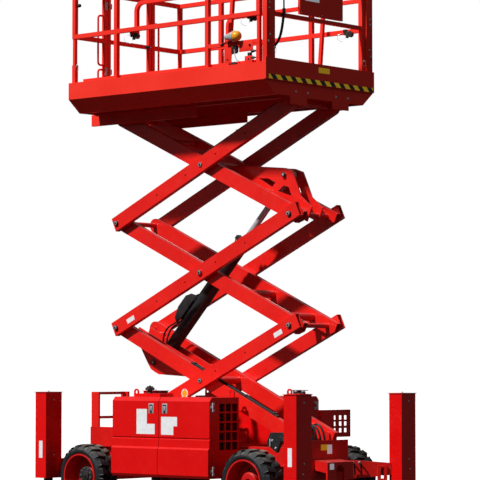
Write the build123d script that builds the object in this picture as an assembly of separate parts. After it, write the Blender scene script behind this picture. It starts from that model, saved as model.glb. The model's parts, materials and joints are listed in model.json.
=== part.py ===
from build123d import *
import math
import os

# Aerial work platform of the scissor type, with its platform part raised.
# Millimetres. +X is the front (steered axle), -Y the near side, +Z up, floor at z = 0.
# The origin is on the floor, at the middle of the overall length and width.

# ---- Driving dimensions -------------------------------------------------------------

# running gear
wheelbase = 2294.0
axle_mid_x = -80.0
wheel_y = 727.0
tyre_radius = 328.0
tyre_width = 300.0
front_hub_out = 90.0         # how far a hub stands past the disc of its rim
rear_hub_out = 60.0
bead_radius = 220.0
hub_radius = 100.0
spindle_radius = 38.0
kingpin_y = 592.0
kingpin_radius = 20.0
axle_beam = 110.0

# chassis frame
frame_front_x = 1390.0
slide_run_out = 134.86       # the frame's rear end, behind the lowest place of the sliders
frame_outer_y = 345.0
frame_rail_width = 80.0
frame_bottom_z = 470.0
frame_top_z = 660.0
plate = 12.0
vent_x = 1040.0              # front face of the plate with square holes
vent_y = (372.0, 845.0)
vent_z = (742.0, 1023.0)
vent_hole = 44.0
vent_columns = (590.0, 680.0, 763.0)
vent_rows = (811.0, 879.0, 942.0)
guard_y = (-700.0, -660.0)
guard_outline = ((1223.0, 710.0), (1275.0, 820.0), (1457.0, 823.0), (1354.0, 624.0))
hitch_nose_x = 1593.0
hitch_half = 200.0
hitch_arch = 60.0
hitch_arch_z = 430.0
hitch_top_z = (538.0, 519.0)     # at the frame and at the nose
hitch_under_z = (444.0, 414.0)
hitch_lip = 20.0                 # the thin lip that hangs from the nose
hitch_lip_z = 340.0
ladder_half = 215.0
ladder_deep = 110.0
ladder_top_z = 1195.0
rung_levels = (1180.0, 920.0, 650.0)

# scissor stack
base_pivot_x = 1235.0
base_pivot_z = 765.0
arm_length = 2666.0          # pin to pin
rest_angle = 24.75           # degrees above level, as raised
stages = 3
arm_depth = 150.0
arm_width = 60.0
arm_wall = 8.0
arm_sleeve = 39.0            # outside radius of the sleeve round each pin
square_end_rear = 50.0       # how far an arm runs past its rear pin
square_end_front = 115.0     # and past its front pin
pin_end = 18.0               # how far a shaft stands out of the outer arms
low_pin_end = 4.0            # the same beside a slide channel
outer_arm_y = 360.0          # outer face of the outer arms
arm_gap = 10.0               # between an outer arm and the inner arm beside it
pin_radius = 25.0
centre_pin_radius = 30.0
stub_radius = 42.0           # the tubes that carry the gusset plates
hose_radius = 10.0
cross_tube_radius = 40.0
running_gap = 0.1            # radial, between a pin and its bore
roller_radius = 44.0
roller_width = 26.0
channel_inside = 100.0       # clear height between the flanges of a slide channel
channel_wall = 10.0
channel_depth = 38.0
channel_gap = 5.0            # between the outer arms and a slide channel
lowest_angle = 3.8
highest_angle = 60.0

# lift cylinder, as places in the frame of the arm that carries each end:
# along the arm from its lower pin, then square to the arm
barrel_pin_along = 2227.0
barrel_pin_off = -207.0
rod_pin_along = 438.0
rod_pin_off = 260.0
barrel_radius = 70.0
barrel_bore = 57.0
barrel_base = 70.0           # from the pin to the bottom of the bore
barrel_length = 1730.0
collar_over = 2.0
gland_length = 26.0
piston_length = 36.0
rod_radius = 33.0
piston_place = 760.53       # the piston's back, from the barrel's pin, as raised
eye_radius = 45.0
cylinder_pin_radius = 24.0
eye_half = 46.0
ear_gap = 8.0
ear_plate = 16.0

# side housings between the wheels
housing_behind = 147.0       # from the rear tyres to the housings
housing_ahead = 133.0        # from the housings to the front tyres
housing_inner_y = 412.0
housing_outer_y = 872.0
housing_bottom_z = 347.0
housing_top_z = 1157.0
housing_wall = 20.0
door_thick = 60.0
door_gap = 6.0
door_split_in = 699.0        # the gap between the doors, back from the housing's front
hinge_out = 8.0              # a door's hinge line stands this far off the end of its housing
hinge_knuckle = 7.5
hinge_rod = 4.0
hinge_leaf = 3.0
hinge_height = 90.0
hinge_up = 76.0
hinge_down = 97.0
eye_outer = 34.0
eye_bore = 18.0
eye_rise = 46.0              # a lifting eye's bore above its housing
eye_thick = 12.0
eye_in = ((53.0, 138.0), (58.0, 38.0))   # from the end and the inner face: rear, front
groove_z = 744.0
crease_z = 640.0
grille_rows = 5
grille_columns = 3
grille_pitch = 96.0
grille_cell = 80.0
grille_in = 60.0             # first column's middle, out from the inner face
grille_down = 486.0          # lowest row's middle, down from the top
top_boxes = {"near": (192.0, 512.0, 68.0, 268.0, 33.0),   # from the rear end and the inner face
             "far": (-276.0, -46.0, 238.0, 378.0, 23.0)}  # x (below 0: from the front), y, height
engine_size = (600.0, 310.0, 533.0)
tank_size = (400.0, 330.0, 533.0)

# outriggers
leg_length_x = 160.0
leg_width_y = 230.0
leg_past_frame = 256.0
leg_outer_y = 940.0
leg_top_z = 1200.0
leg_bottom_z = 290.0
beam_top_z = 530.0
beam_width = 110.0
beam_root_y = 330.0          # where the front face of an outrigger arm starts and ends
beam_tip_in = 126.0
beam_root_z = (330.0, 530.0)
beam_tip_z = (370.0, 490.0)
lug_slot_width = 34.0
lug_slot_height = 110.0
leg_wall = 10.0
leg_cap = 6.0
leg_cap_over = 8.0
jack_radius = 48.0
jack_foot_z = 135.0
foot_radius = 95.0
foot_thick = 24.0

# platform
deck_rear_x = -1419.0
deck_front_x = 1339.0
deck_half_width = 856.0
deck_rise = 240.0            # deck surface above the upper scissor pins
fascia_top_rise = 359.0
fascia_height = 176.0
skirt_in = 163.0
skirt_drop = 135.0
sheet = 5.0
rail_in = 42.0               # the rails' middle, in from the edge of the platform
rail_rear_in = 54.0
rail_front_in = 104.0
rail_tube = 45.0
rear_post_on = 621.0
middle_post_x = 547.0
socket_height = 190.0        # of the sockets that the upper corner posts drop into
beacon_bar_rise = 574.5      # the bar on the near side for the warning beacon, above the pins
mid_rail_rise = 852.0        # above the upper scissor pins
top_rail_rise = 1362.0
gate_half_width = 345.0
hinge_pin = 7.0
front_plate = 20.0
toe_board_in = 70.0          # the inner toe board, in from the face of the fascia
toe_board_rise = 38.0
stub_post = 34.0             # the narrower posts that the upper rails drop onto
handle_radius = 11.0
handle_out = 80.0
extension_length = 1889.0
extension_rail_inset = 60.0
toe_plate_drop = 52.0        # bottom of the front toe plate, below the deck
toe_plate_rise = 45.0        # its top, above the platform's fascia
front_rail_in = 30.0         # middle of the front rails, in from the toe plate
side_rail_drop = 220.0       # the extension's side rails, below the top rail
floor_top = 30.0             # extension floor above the main deck
control_box_in = 283.0       # in from the middle of the near side rail
panel_in = (417.0, 330.0)    # near and far edges of the panel, in from the side rails
brace_x = 800.0              # where the slanted brace meets the extension's side rail
cable_radius = 11.0

# ---- Worked-out places ---------------------------------------------------------------

front_axle_x = axle_mid_x + wheelbase / 2
rear_axle_x = axle_mid_x - wheelbase / 2
housing_rear_x = rear_axle_x + tyre_radius + housing_behind
housing_front_x = front_axle_x - tyre_radius - housing_ahead
door_split_x = housing_front_x - door_split_in
hinge_levels = (housing_bottom_z + hinge_up, housing_top_z - hinge_down)
collar_radius = barrel_radius + collar_over
rail_y = deck_half_width - rail_in
rail_rear_x = deck_rear_x + rail_rear_in
rail_front_x = deck_front_x - rail_front_in
rear_post_x = rail_rear_x + rear_post_on
extension_rail_y = rail_y - extension_rail_inset - 41
extension_front_x = deck_front_x + front_plate
extension_rear_x = extension_front_x - extension_length
rest = math.radians(rest_angle)
stage_rise = arm_length * math.sin(rest)
stage_span = arm_length * math.cos(rest)
slide_x = base_pivot_x - stage_span
deck_pin_z = base_pivot_z + stages * stage_rise
inner_arm_y = outer_arm_y - arm_width - arm_gap
inner_clear_y = inner_arm_y - arm_width
low = math.radians(lowest_angle)
high = math.radians(highest_angle)
slide_low_x = base_pivot_x - arm_length * math.cos(low)
slide_high_x = base_pivot_x - arm_length * math.cos(high)
frame_rear_x = round(slide_low_x - slide_run_out, 1)
leg_end_x = leg_past_frame - frame_rear_x
beam_tip_x = leg_end_x - beam_tip_in
channel_in_y = outer_arm_y + channel_gap
channel_out_y = channel_in_y + channel_depth
deck_z = deck_pin_z + deck_rise
fascia_top_z = deck_pin_z + fascia_top_rise
fascia_bottom_z = fascia_top_z - fascia_height
skirt_z = fascia_bottom_z - skirt_drop
mid_rail_z = deck_pin_z + mid_rail_rise
top_rail_z = deck_pin_z + top_rail_rise
beacon_bar_z = deck_pin_z + beacon_bar_rise
handle_spans = ((deck_z + 60, deck_z + 300), (mid_rail_z - 262.5, top_rail_z - 237.5))
gate_hinge_x = rail_rear_x + rail_tube / 2 + 8
gate_hinge_y = -gate_half_width + 14
gate_hinge_z = (mid_rail_z - 330, top_rail_z - 130)
door_hinge_y = housing_outer_y - door_thick
eye_spots = ((housing_rear_x + eye_in[0][0], housing_inner_y + eye_in[0][1]),
             (housing_front_x - eye_in[1][0], housing_inner_y + eye_in[1][1]))
SIDES = (("near", -1), ("far", 1))
ENDS = (("front", 1), ("rear", -1))


# ---- Small builders ------------------------------------------------------------------

def block(x0, x1, y0, y1, z0, z1):
    """A box between two corners."""
    middle = Pos((x0 + x1) / 2, (y0 + y1) / 2, (z0 + z1) / 2)
    return middle * Box(abs(x1 - x0), abs(y1 - y0), abs(z1 - z0))


def side_block(side, x0, x1, y0, y1, z0, z1):
    """A box whose Y places are given outwards from the middle of the machine."""
    return block(x0, x1, side * y0, side * y1, z0, z1)


def rod_y(x, z, y0, y1, radius):
    """A round bar along Y."""
    return Pos(x, (y0 + y1) / 2, z) * Rot(90, 0, 0) * Cylinder(radius, abs(y1 - y0))


def rod_z(x, y, z0, z1, radius):
    """A round bar along Z."""
    return Pos(x, y, (z0 + z1) / 2) * Cylinder(radius, abs(z1 - z0))


def outline_face(points):
    """A flat face in XY from its corners, whichever way round they are listed."""
    turn = sum(a[0] * b[1] - b[0] * a[1] for a, b in zip(points, points[1:] + points[:1]))
    corners = points if turn > 0 else points[::-1]
    return make_face(Polyline(*corners, close=True))


def plate_xz(points, y0, y1):
    """A flat plate with an outline in XZ, between two Y places."""
    face = Plane.XZ * outline_face(points)
    return Pos(0, max(y0, y1), 0) * extrude(face, abs(y1 - y0))


def prism_x(points, x0, x1):
    """A bar along X with an outline in YZ."""
    face = Plane.YZ * outline_face(points)
    return Pos(min(x0, x1), 0, 0) * extrude(face, abs(x1 - x0))


def revolve_y(points):
    """A turned piece about Y, from (radius, y) points."""
    face = make_face(Polyline(*[(r, y) for r, y in points], close=True))
    return revolve(face, Axis.Y)


def bent_bar(points, section, bend):
    """A bar with the given section through the given corners, with its bends rounded."""
    path = FilletPolyline(*points, radius=bend)
    start = Plane(origin=path @ 0, z_dir=path % 0)
    return sweep(start * section, path=path)


def hose(points, ways, radius):
    """A round hose on a smooth curve through the points, setting off and arriving as told."""
    path = Spline(*points, tangents=ways)
    start = Plane(origin=path @ 0, z_dir=path % 0)
    return sweep(start * Circle(radius), path=path)


def fuse(pieces):
    """One solid from pieces that meet."""
    whole = pieces[0]
    for piece in pieces[1:]:
        whole = whole + piece
    return whole


def write(name, pieces):
    """Write one node, as one solid or as several that do not touch."""
    solids = pieces if isinstance(pieces, list) else [pieces]
    flat = []
    for piece in solids:
        flat += list(piece.solids())
    for solid in flat:
        solid.label = name
    body = flat[0] if len(flat) == 1 else Compound(label=name, children=flat)
    export_step(body, os.path.join("parts", name + ".step"))


# ---- Wheels and axles ----------------------------------------------------------------

def tyre():
    """A wide off-road tyre without its tread bars, centred on the origin."""
    half = tyre_width / 2
    shoulder = tyre_radius - 22
    return revolve_y([
        (bead_radius, -half + 30), (bead_radius + 26, -half + 6), (shoulder - 30, -half),
        (shoulder, -half + 8), (tyre_radius, -half + 46), (tyre_radius, half - 46),
        (shoulder, half - 8), (shoulder - 30, half), (bead_radius + 26, half - 6),
        (bead_radius, half - 30)])


def rim(outward, hub_out):
    """A deep-dished steel rim; hub_out is how far the hub stands past the disc."""
    half = tyre_width / 2
    disc = -20.0
    wall = 8.0
    lip = 12.0
    bore = spindle_radius + 0.3
    seat = bead_radius - 0.3
    barrel = revolve_y([
        (seat - wall, -half + 8), (seat + 8, -half + 8), (seat + 8, -half + 16),
        (seat, -half + 18), (seat, half - 18), (seat + 8, half - 16), (seat + 8, half - 8),
        (seat - wall, half - 8)])
    web = revolve_y([
        (bore, disc), (bead_radius - wall + 1, disc), (bead_radius - wall + 1, disc + lip),
        (hub_radius, disc + lip), (hub_radius, disc + hub_out - 14),
        (hub_radius - 14, disc + hub_out), (bore, disc + hub_out)])
    whole = barrel + web
    return whole if outward > 0 else mirror(whole, Plane.XZ)


def front_knuckle(side):
    """A steering knuckle with its kingpin and the spindle of the wheel."""
    inner = wheel_y - 20
    hub = rod_z(front_axle_x, side * kingpin_y, tyre_radius - 60, tyre_radius + 60, 42)
    pin = rod_z(front_axle_x, side * kingpin_y, tyre_radius - 92, tyre_radius + 92,
                kingpin_radius)
    flange = rod_y(front_axle_x, tyre_radius, side * (kingpin_y + 62), side * (inner - 22), 84)
    spindle = rod_y(front_axle_x, tyre_radius, side * kingpin_y, side * (inner + 62),
                    spindle_radius)
    arm = side_block(side, front_axle_x - 190, front_axle_x, kingpin_y - 14, kingpin_y + 14,
                     tyre_radius - 14, tyre_radius + 14)
    return fuse([hub, pin, flange, spindle, arm])


def front_axle():
    """The front axle beam with a fork at each end round the kingpins."""
    half = axle_beam / 2
    pieces = [block(front_axle_x - half, front_axle_x + half, -520, 520,
                    tyre_radius - half, tyre_radius + half)]
    bore = kingpin_radius + running_gap
    for _, side in SIDES:
        web = side_block(side, front_axle_x - half, front_axle_x + half, 510, 534,
                         tyre_radius - 92, tyre_radius + 92)
        pieces.append(web)
        for z0 in (tyre_radius - 92, tyre_radius + 68):
            ear = side_block(side, front_axle_x - half, front_axle_x + half, 530,
                             kingpin_y, z0, z0 + 24)
            nose = rod_z(front_axle_x, side * kingpin_y, z0, z0 + 24, half)
            pieces += [ear, nose]
    beam = fuse(pieces)
    for _, side in SIDES:
        beam = beam - rod_z(front_axle_x, side * kingpin_y, 0, 2 * tyre_radius, bore)
    mount = block(front_axle_x - 40, front_axle_x + 40, -90, 90, tyre_radius + half - 1,
                  frame_bottom_z + 10)
    return beam + mount


def rear_axle():
    """The fixed rear axle beam with a drive motor and spindle at each end."""
    half = axle_beam / 2
    inner = wheel_y - 20
    pieces = [block(rear_axle_x - half, rear_axle_x + half, -550, 550, tyre_radius - half,
                    tyre_radius + half)]
    for _, side in SIDES:
        pieces.append(rod_y(rear_axle_x, tyre_radius, side * 540, side * (inner - 22), 92))
        pieces.append(rod_y(rear_axle_x, tyre_radius, side * 600, side * (inner + 62),
                            spindle_radius))
        pieces.append(side_block(side, rear_axle_x - half, rear_axle_x + half, 200, 330,
                                 tyre_radius, frame_bottom_z))
    return fuse(pieces)


# ---- Chassis -------------------------------------------------------------------------

def slide_channel(x0, x1, z, side):
    """A slide channel with its mouth inwards."""
    half = channel_inside / 2
    outer = side_block(side, x0, x1, channel_in_y, channel_out_y, z - half - channel_wall,
                       z + half + channel_wall)
    slot = side_block(side, x0 - 1, x1 + 1, channel_in_y - 1, channel_out_y - channel_wall,
                      z - half, z + half)
    return outer - slot


def main_frame():
    """The welded chassis frame with its pivot lugs and lower slide channels."""
    inner_y = frame_outer_y - frame_rail_width
    channel_x0 = slide_low_x - roller_radius - 60
    channel_x1 = slide_high_x + roller_radius + 60
    pieces = []
    for _, side in SIDES:
        rail = side_block(side, frame_rear_x, frame_front_x, inner_y, frame_outer_y,
                          frame_bottom_z, frame_top_z)
        hollow = side_block(side, frame_rear_x - 1, frame_front_x + 1, inner_y + plate,
                            frame_outer_y - plate, frame_bottom_z + plate,
                            frame_top_z - plate)
        pieces.append(rail - hollow)
        seat_top = base_pivot_z - channel_inside / 2 - channel_wall
        pieces.append(side_block(side, channel_x0, channel_x1, frame_outer_y - 20,
                                 channel_out_y, frame_top_z - 40, frame_top_z))
        pieces.append(side_block(side, channel_x0, channel_x1, channel_in_y, channel_out_y,
                                 frame_top_z - 1, seat_top + 1))
        pieces.append(slide_channel(channel_x0, channel_x1, base_pivot_z, side))
        ear = arm_depth / 2 - 25
        for y0 in (inner_arm_y + ear_gap, inner_clear_y - ear_gap - 24):
            lug = side_block(side, base_pivot_x - ear, base_pivot_x + ear, y0, y0 + 24,
                             frame_bottom_z + 40, base_pivot_z)
            top = rod_y(base_pivot_x, base_pivot_z, side * y0, side * (y0 + 24), ear)
            pieces += [lug, top]
        pieces.append(rod_y(base_pivot_x, base_pivot_z, side * (inner_clear_y - 34),
                            side * (inner_arm_y + ear_gap + 30), pin_radius))
    for x in (frame_rear_x + 60, -700, 250, front_axle_x, base_pivot_x + 80):
        pieces.append(block(x - 50, x + 50, -inner_y - 1, inner_y + 1, frame_bottom_z + 10,
                            frame_bottom_z + 120))
    for x in (housing_rear_x + 150, housing_front_x - 150):
        for _, side in SIDES:
            pieces.append(side_block(side, x - 40, x + 40, frame_outer_y - 1, housing_inner_y,
                                     frame_bottom_z + 30, frame_top_z - 60))
    for x0, x1 in ((frame_rear_x - plate, frame_rear_x), (frame_front_x, frame_front_x + plate)):
        pieces.append(block(x0, x1, -frame_outer_y - 15, frame_outer_y + 15, frame_bottom_z,
                            frame_top_z + 70))
    pieces.append(vent_plate())
    return fuse(pieces)


def vent_plate():
    """The upright plate with square holes behind the far front wheel, and its strut."""
    inner, outer = vent_y
    bottom, top = vent_z
    foot = block(vent_x - 50, vent_x - 6, frame_outer_y - 1, inner + 20, frame_top_z - 60,
                 frame_top_z)
    strut = block(vent_x - 50, vent_x, inner, inner + 20, frame_top_z - 20, top)
    sheet_metal = block(vent_x - 6, vent_x, inner, outer, bottom, top)
    for y in vent_columns:
        for z in vent_rows:
            wide = vent_hole if y > vent_columns[0] else vent_hole - 14
            sheet_metal = sheet_metal - block(vent_x - 7, vent_x + 1, y - wide / 2, y + wide / 2,
                                              z - vent_hole / 2, z + vent_hole / 2)
    return fuse([foot, strut, sheet_metal])


def wheel_guard():
    """The black guard over the near front wheel and the bar that carries it from the leg."""
    y0 = guard_y[0]
    bar = block(1400, leg_end_x - leg_length_x, y0 - 60, y0 + 10, 740, 780)
    return plate_xz(list(guard_outline), *guard_y) + bar


def hitch_block(face):
    """The wedge-shaped block at the front of the frame, with an arched pocket in its nose."""
    nose = hitch_nose_x
    inside = nose - hitch_lip
    outline = [(face, hitch_top_z[0]), (nose, hitch_top_z[1]), (nose, hitch_lip_z),
               (inside, hitch_lip_z), (inside, hitch_under_z[1]), (face, hitch_under_z[0])]
    body = plate_xz(outline, -hitch_half, hitch_half)
    pocket = block(nose - 70, nose + 1, -hitch_arch, hitch_arch, hitch_lip_z - 1, hitch_arch_z)
    crown = Pos(nose - 34.5, 0, hitch_arch_z) * Rot(0, 90, 0) * Cylinder(hitch_arch, 71)
    return body - pocket - crown


def outrigger_beam(end):
    """What joins the frame to the two legs of one end: a cross plate, a block and two arms."""
    face = frame_front_x + plate if end > 0 else -frame_rear_x + plate
    bottom, top = beam_root_z
    leg_in_y = leg_outer_y - leg_width_y
    pieces = [block(end * face, end * (face + 20), -frame_outer_y, frame_outer_y, bottom, top)]
    if end > 0:
        pieces.append(hitch_block(face))
    else:
        pieces.append(block(end * face, end * beam_tip_x, -240, 240, 444, top))
    start_x = face + 20
    run = math.hypot(beam_tip_x - start_x, leg_in_y - beam_root_y)
    ahead = ((beam_tip_x - start_x) / run, (leg_in_y - beam_root_y) / run)
    back = (-ahead[1], ahead[0])
    for _, side in SIDES:
        way = (end * ahead[0], side * ahead[1], 0)
        middle = (end * (start_x + back[0] * beam_width / 2),
                  side * (beam_root_y + back[1] * beam_width / 2), 0)
        root = Plane(origin=middle, x_dir=(0, 0, 1), z_dir=way)
        faces = []
        for plane, (z0, z1) in ((root.offset(-40), beam_root_z), (root.offset(run), beam_tip_z)):
            section = Pos((z0 + z1) / 2, 0) * Rectangle(z1 - z0, beam_width)
            faces.append(plane * section)
        limit = side_block(side, -leg_end_x, leg_end_x, 0, leg_in_y, bottom, top)
        outside = side_block(side, end * face, end * leg_end_x, 0, leg_in_y, bottom, top)
        beside = side_block(side, 0, end * face, frame_outer_y + 16, leg_in_y, bottom, top)
        arm = (loft(faces) & limit) & (outside + beside)
        lug, slot = slotted_lug(end, side, start_x, run, ahead)
        pieces.append((arm + lug) - slot)
    return fuse(pieces)


def slotted_lug(end, side, start_x, run, ahead):
    """The thick plate with an upright slot near the tip of an outrigger arm, and its slot."""
    lug_length, lug_height, lug_thick = 100.0, 150.0, 18.0
    reach = run - 105.0
    out = (ahead[1], -ahead[0])
    bottom = beam_tip_z[0] - 55
    turn = math.degrees(math.atan2(side * ahead[1], end * ahead[0]))

    def at(off):
        return Pos(end * (start_x + ahead[0] * reach + out[0] * off),
                   side * (beam_root_y + ahead[1] * reach + out[1] * off),
                   bottom + lug_height / 2) * Rot(0, 0, turn)
    lug = at(lug_thick / 2 - 0.5) * Box(lug_length, lug_thick + 1, lug_height)
    slot = at(0) * Box(lug_slot_width, 2.6 * beam_width, lug_slot_height)
    return lug, slot


def leg_housing(end, side):
    """One outrigger leg: a sheet-steel box open below, with its cap."""
    x0 = end * (leg_end_x - leg_length_x)
    x1 = end * leg_end_x
    y0 = leg_outer_y - leg_width_y
    outside = side_block(side, x0, x1, y0, leg_outer_y, leg_bottom_z, leg_top_z)
    w = leg_wall * end
    inside = side_block(side, x0 + w, x1 - w, y0 + leg_wall, leg_outer_y - leg_wall,
                        leg_bottom_z - 1, leg_top_z - leg_wall)
    over = leg_cap_over * end
    cap = side_block(side, x0 - over, x1 + over, y0 - leg_cap_over, leg_outer_y + leg_cap_over,
                     leg_top_z - leg_cap, leg_top_z)
    return outside - inside + cap


def leg_jack(end, side):
    """The ram and foot plate inside one outrigger leg, drawn up."""
    x = end * (leg_end_x - leg_length_x / 2)
    y = side * (leg_outer_y - leg_width_y / 2)
    ram = rod_z(x, y, jack_foot_z, leg_bottom_z + 560, jack_radius)
    foot = rod_z(x, y, jack_foot_z, jack_foot_z + foot_thick, foot_radius)
    guide = block(x - leg_length_x / 2 + leg_wall + 0.3, x + leg_length_x / 2 - leg_wall - 0.3,
                  y - leg_width_y / 2 + leg_wall + 0.3, y + leg_width_y / 2 - leg_wall - 0.3,
                  leg_bottom_z + 460, leg_bottom_z + 560)
    return fuse([ram, foot, guide])


def door_hinge_x(end):
    """Where the hinge line of a housing door stands."""
    return housing_front_x + hinge_out if end > 0 else housing_rear_x - hinge_out


def hinge_half(end, side, z, way, spans):
    """Knuckles of one hinge over the given Z spans, with a leaf to one side (way) of them."""
    x = door_hinge_x(end)
    face = x - end * hinge_out
    leaf_y = door_hinge_y + way * 33
    pieces = []
    for z0, z1 in spans:
        pieces.append(rod_z(x, side * door_hinge_y, z + z0, z + z1, hinge_knuckle))
        pieces.append(side_block(side, face - end * 0.5, face + end * hinge_leaf,
                                 door_hinge_y + way * 0.5, leaf_y, z + z0, z + z1))
    return fuse(pieces)


def housing(side):
    """A side housing: a shell open towards its doors, with a grille in the front end."""
    x0, x1 = housing_rear_x, housing_front_x
    y1 = housing_outer_y - door_thick
    shell = side_block(side, x0, x1, housing_inner_y, y1, housing_bottom_z, housing_top_z)
    w = housing_wall
    room = side_block(side, x0 + w, x1 - w, housing_inner_y + w, y1 + 1,
                      housing_bottom_z + w, housing_top_z - w)
    shell = shell - room
    half = grille_cell / 2
    for row in range(grille_rows):
        for column in range(grille_columns):
            y = housing_inner_y + grille_in + column * grille_pitch
            z = housing_top_z - grille_down + row * grille_pitch
            shell = shell - side_block(side, x1 - w - 1, x1 + 1, y - half, y + half,
                                       z - half, z + half)
    for x, y in eye_spots:
        eye_z = housing_top_z + eye_rise
        y0, y1 = side * (y - eye_thick / 2), side * (y + eye_thick / 2)
        stem = block(x - eye_outer, x + eye_outer, y0, y1, housing_top_z - 1, eye_z)
        shell = shell + (stem + rod_y(x, eye_z, y0, y1, eye_outer) -
                         rod_y(x, eye_z, y0 - side, y1 + side, eye_bore))
    bx0, bx1, by0, by1, rise = top_boxes["far" if side > 0 else "near"]
    origin_x = x0 if bx0 > 0 else x1
    shell = shell + side_block(side, origin_x + bx0, origin_x + bx1, housing_inner_y + by0,
                               housing_inner_y + by1, housing_top_z - 1, housing_top_z + rise)
    third = hinge_height / 6
    for _, end in ENDS:
        for z in hinge_levels:
            shell = shell + hinge_half(end, side, z, -1, ((-3 * third, -third - 0.5),
                                                          (third + 0.5, 3 * third)))
            shell = shell + rod_z(door_hinge_x(end), side * door_hinge_y, z - third - 1,
                                  z + third + 1, hinge_rod)
    return shell


def housing_door(end, side):
    """One of the two doors on a side housing, with its groove, crease and chamfer."""
    y_out = housing_outer_y
    y_flat = y_out - 20
    y_in = y_out - door_thick + 0.5
    top = housing_top_z
    points = [
        (y_in, top), (y_flat - 36, top), (y_flat, top - 40), (y_flat, groove_z + 8),
        (y_flat - 10, groove_z + 2), (y_flat - 10, groove_z - 8), (y_flat, groove_z - 14),
        (y_flat + 3, crease_z + 12), (y_out, crease_z - 6), (y_out, housing_bottom_z + 26),
        (y_out - 18, housing_bottom_z), (y_in, housing_bottom_z)]
    outline = [(side * y, z) for y, z in points]
    if end > 0:
        x0, x1 = door_split_x + door_gap / 2, housing_front_x
    else:
        x0, x1 = housing_rear_x, door_split_x - door_gap / 2
    door = prism_x(outline, x0, x1)
    third = hinge_height / 6
    for z in hinge_levels:
        door = door + hinge_half(end, side, z, 1, ((-third, third),))
        door = door - rod_z(door_hinge_x(end), side * door_hinge_y, z - third - 1,
                            z + third + 1, hinge_rod + running_gap)
    return door


def service_blocks():
    """Plain blocks for the engine in the far housing and the tank in the near one."""
    floor = housing_bottom_z + housing_wall
    blocks = []
    for side, (length, width, height), away in ((1, engine_size, 252), (-1, tank_size, 52)):
        x0 = housing_rear_x + away
        outer = housing_outer_y - door_thick - 32
        blocks.append(side_block(side, x0, x0 + length, outer - width, outer, floor,
                                 floor + height))
    return blocks


def ladder():
    """The rear entry ladder: two plate posts and its rungs."""
    post_x0 = frame_rear_x - plate - ladder_deep
    post_x1 = frame_rear_x - plate
    half = ladder_half
    pieces = []
    for _, side in SIDES:
        pieces.append(side_block(side, post_x0, post_x1, half, half + 22, beam_top_z,
                                 ladder_top_z))
    for z in rung_levels:
        pieces.append(block(post_x0 + 30, post_x0 + 70, -half - 1, half + 1, z - 14, z + 14))
    return fuse(pieces)


# ---- Scissor arms --------------------------------------------------------------------

def arm_point(stage, kind, along, off):
    """A point given along an arm from its lower pin and square to the arm."""
    z0 = base_pivot_z + (stage - 1) * stage_rise
    if kind == "inner":
        x = base_pivot_x - along * math.cos(rest) + off * math.sin(rest)
    else:
        x = slide_x + along * math.cos(rest) - off * math.sin(rest)
    z = z0 + along * math.sin(rest) + off * math.cos(rest)
    return x, z


def arm_run_out(stage, kind):
    """How far an arm runs past its lower and upper pins; None is a rounded, closed end."""
    if kind == "outer":
        return square_end_rear, square_end_front if stage < stages else None
    return square_end_front if stage > 1 else arm_depth / 2, None


def arm_bar(stage, kind, y0, y1):
    """One arm: a box tube with a sleeve at each pin, open or rounded at its ends."""
    half = arm_depth / 2
    below, above = arm_run_out(stage, kind)
    start = -below
    stop = arm_length + (above or 0)
    bar = plate_xz([arm_point(stage, kind, a, b) for a, b in (
        (start, -half), (stop, -half), (stop, half), (start, half))], y0, y1)
    if above is None:
        bar = bar + rod_y(*arm_point(stage, kind, arm_length, 0), y0, y1, half)
    inner = half - arm_wall
    end = stop + 1 if above else arm_length - 20
    w = arm_wall if y1 > y0 else -arm_wall
    hollow = plate_xz([arm_point(stage, kind, a, b) for a, b in (
        (start - 1, -inner), (end, -inner), (end, inner), (start - 1, inner))], y0 + w, y1 - w)
    bar = bar - hollow
    for along in (0, arm_length / 2, arm_length):
        bar = bar + rod_y(*arm_point(stage, kind, along, 0), y0, y1, arm_sleeve)
    corner = corner_cut(stage, kind)
    if corner:
        bar = bar - plate_xz(corner, y0 - w, y1 + w)
    return bar


def corner_cut(stage, kind):
    """The chamfer on the underside of an inner arm's lower end."""
    half = arm_depth / 2
    if kind == "outer":
        return None
    size = 60.0 if stage > 1 else 34.0
    below = arm_run_out(stage, kind)[0]
    return [arm_point(stage, kind, a, b) for a, b in (
        (-below - 1, -half - 1), (-below + size, -half - 1), (-below - 1, -half + size))]


def ear_plates(stage, outline, openings, pin, boss):
    """A pair of gusset plates outlined along the arm, with openings and a boss at the pin."""
    x, z = arm_point(stage, "inner", *pin)
    y0 = barrel_radius + ear_gap
    y1 = y0 + ear_plate
    plates = []
    for _, side in SIDES:
        ear = plate_xz([arm_point(stage, "inner", *p) for p in outline], side * y0, side * y1)
        for opening in openings:
            ear = ear - plate_xz([arm_point(stage, "inner", *p) for p in opening],
                                 side * (y0 - 1), side * (y1 + 1))
        plates.append(ear + rod_y(x, z, side * y0, side * y1, boss))
    return plates


def ear_stubs(stage, places):
    """Short tubes that carry the gusset plates from the inner arms."""
    y0 = barrel_radius + ear_gap + 1
    stubs = []
    for place in places:
        x, z = arm_point(stage, "inner", *place)
        for _, side in SIDES:
            stubs.append(rod_y(x, z, side * y0, side * (inner_clear_y + 1), stub_radius))
    return stubs


def barrel_gussets():
    """The deep gussets under the lowest inner arms that hold the barrel's pin."""
    outline = [(2600, 40), (2600, -30), (2533, -117), (2290, -272), (2204, -297),
               (2123, -295), (1703, -129), (1570, -60), (1570, 40)]
    pin = (barrel_pin_along, barrel_pin_off)
    pieces = ear_plates(1, outline, [], pin, 88)
    pieces += ear_stubs(1, [(1680, -20), (2520, -20)])
    reach = barrel_radius + ear_gap + ear_plate + 24
    pieces.append(rod_y(*arm_point(1, "inner", *pin), -reach, reach, cylinder_pin_radius))
    return pieces


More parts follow.
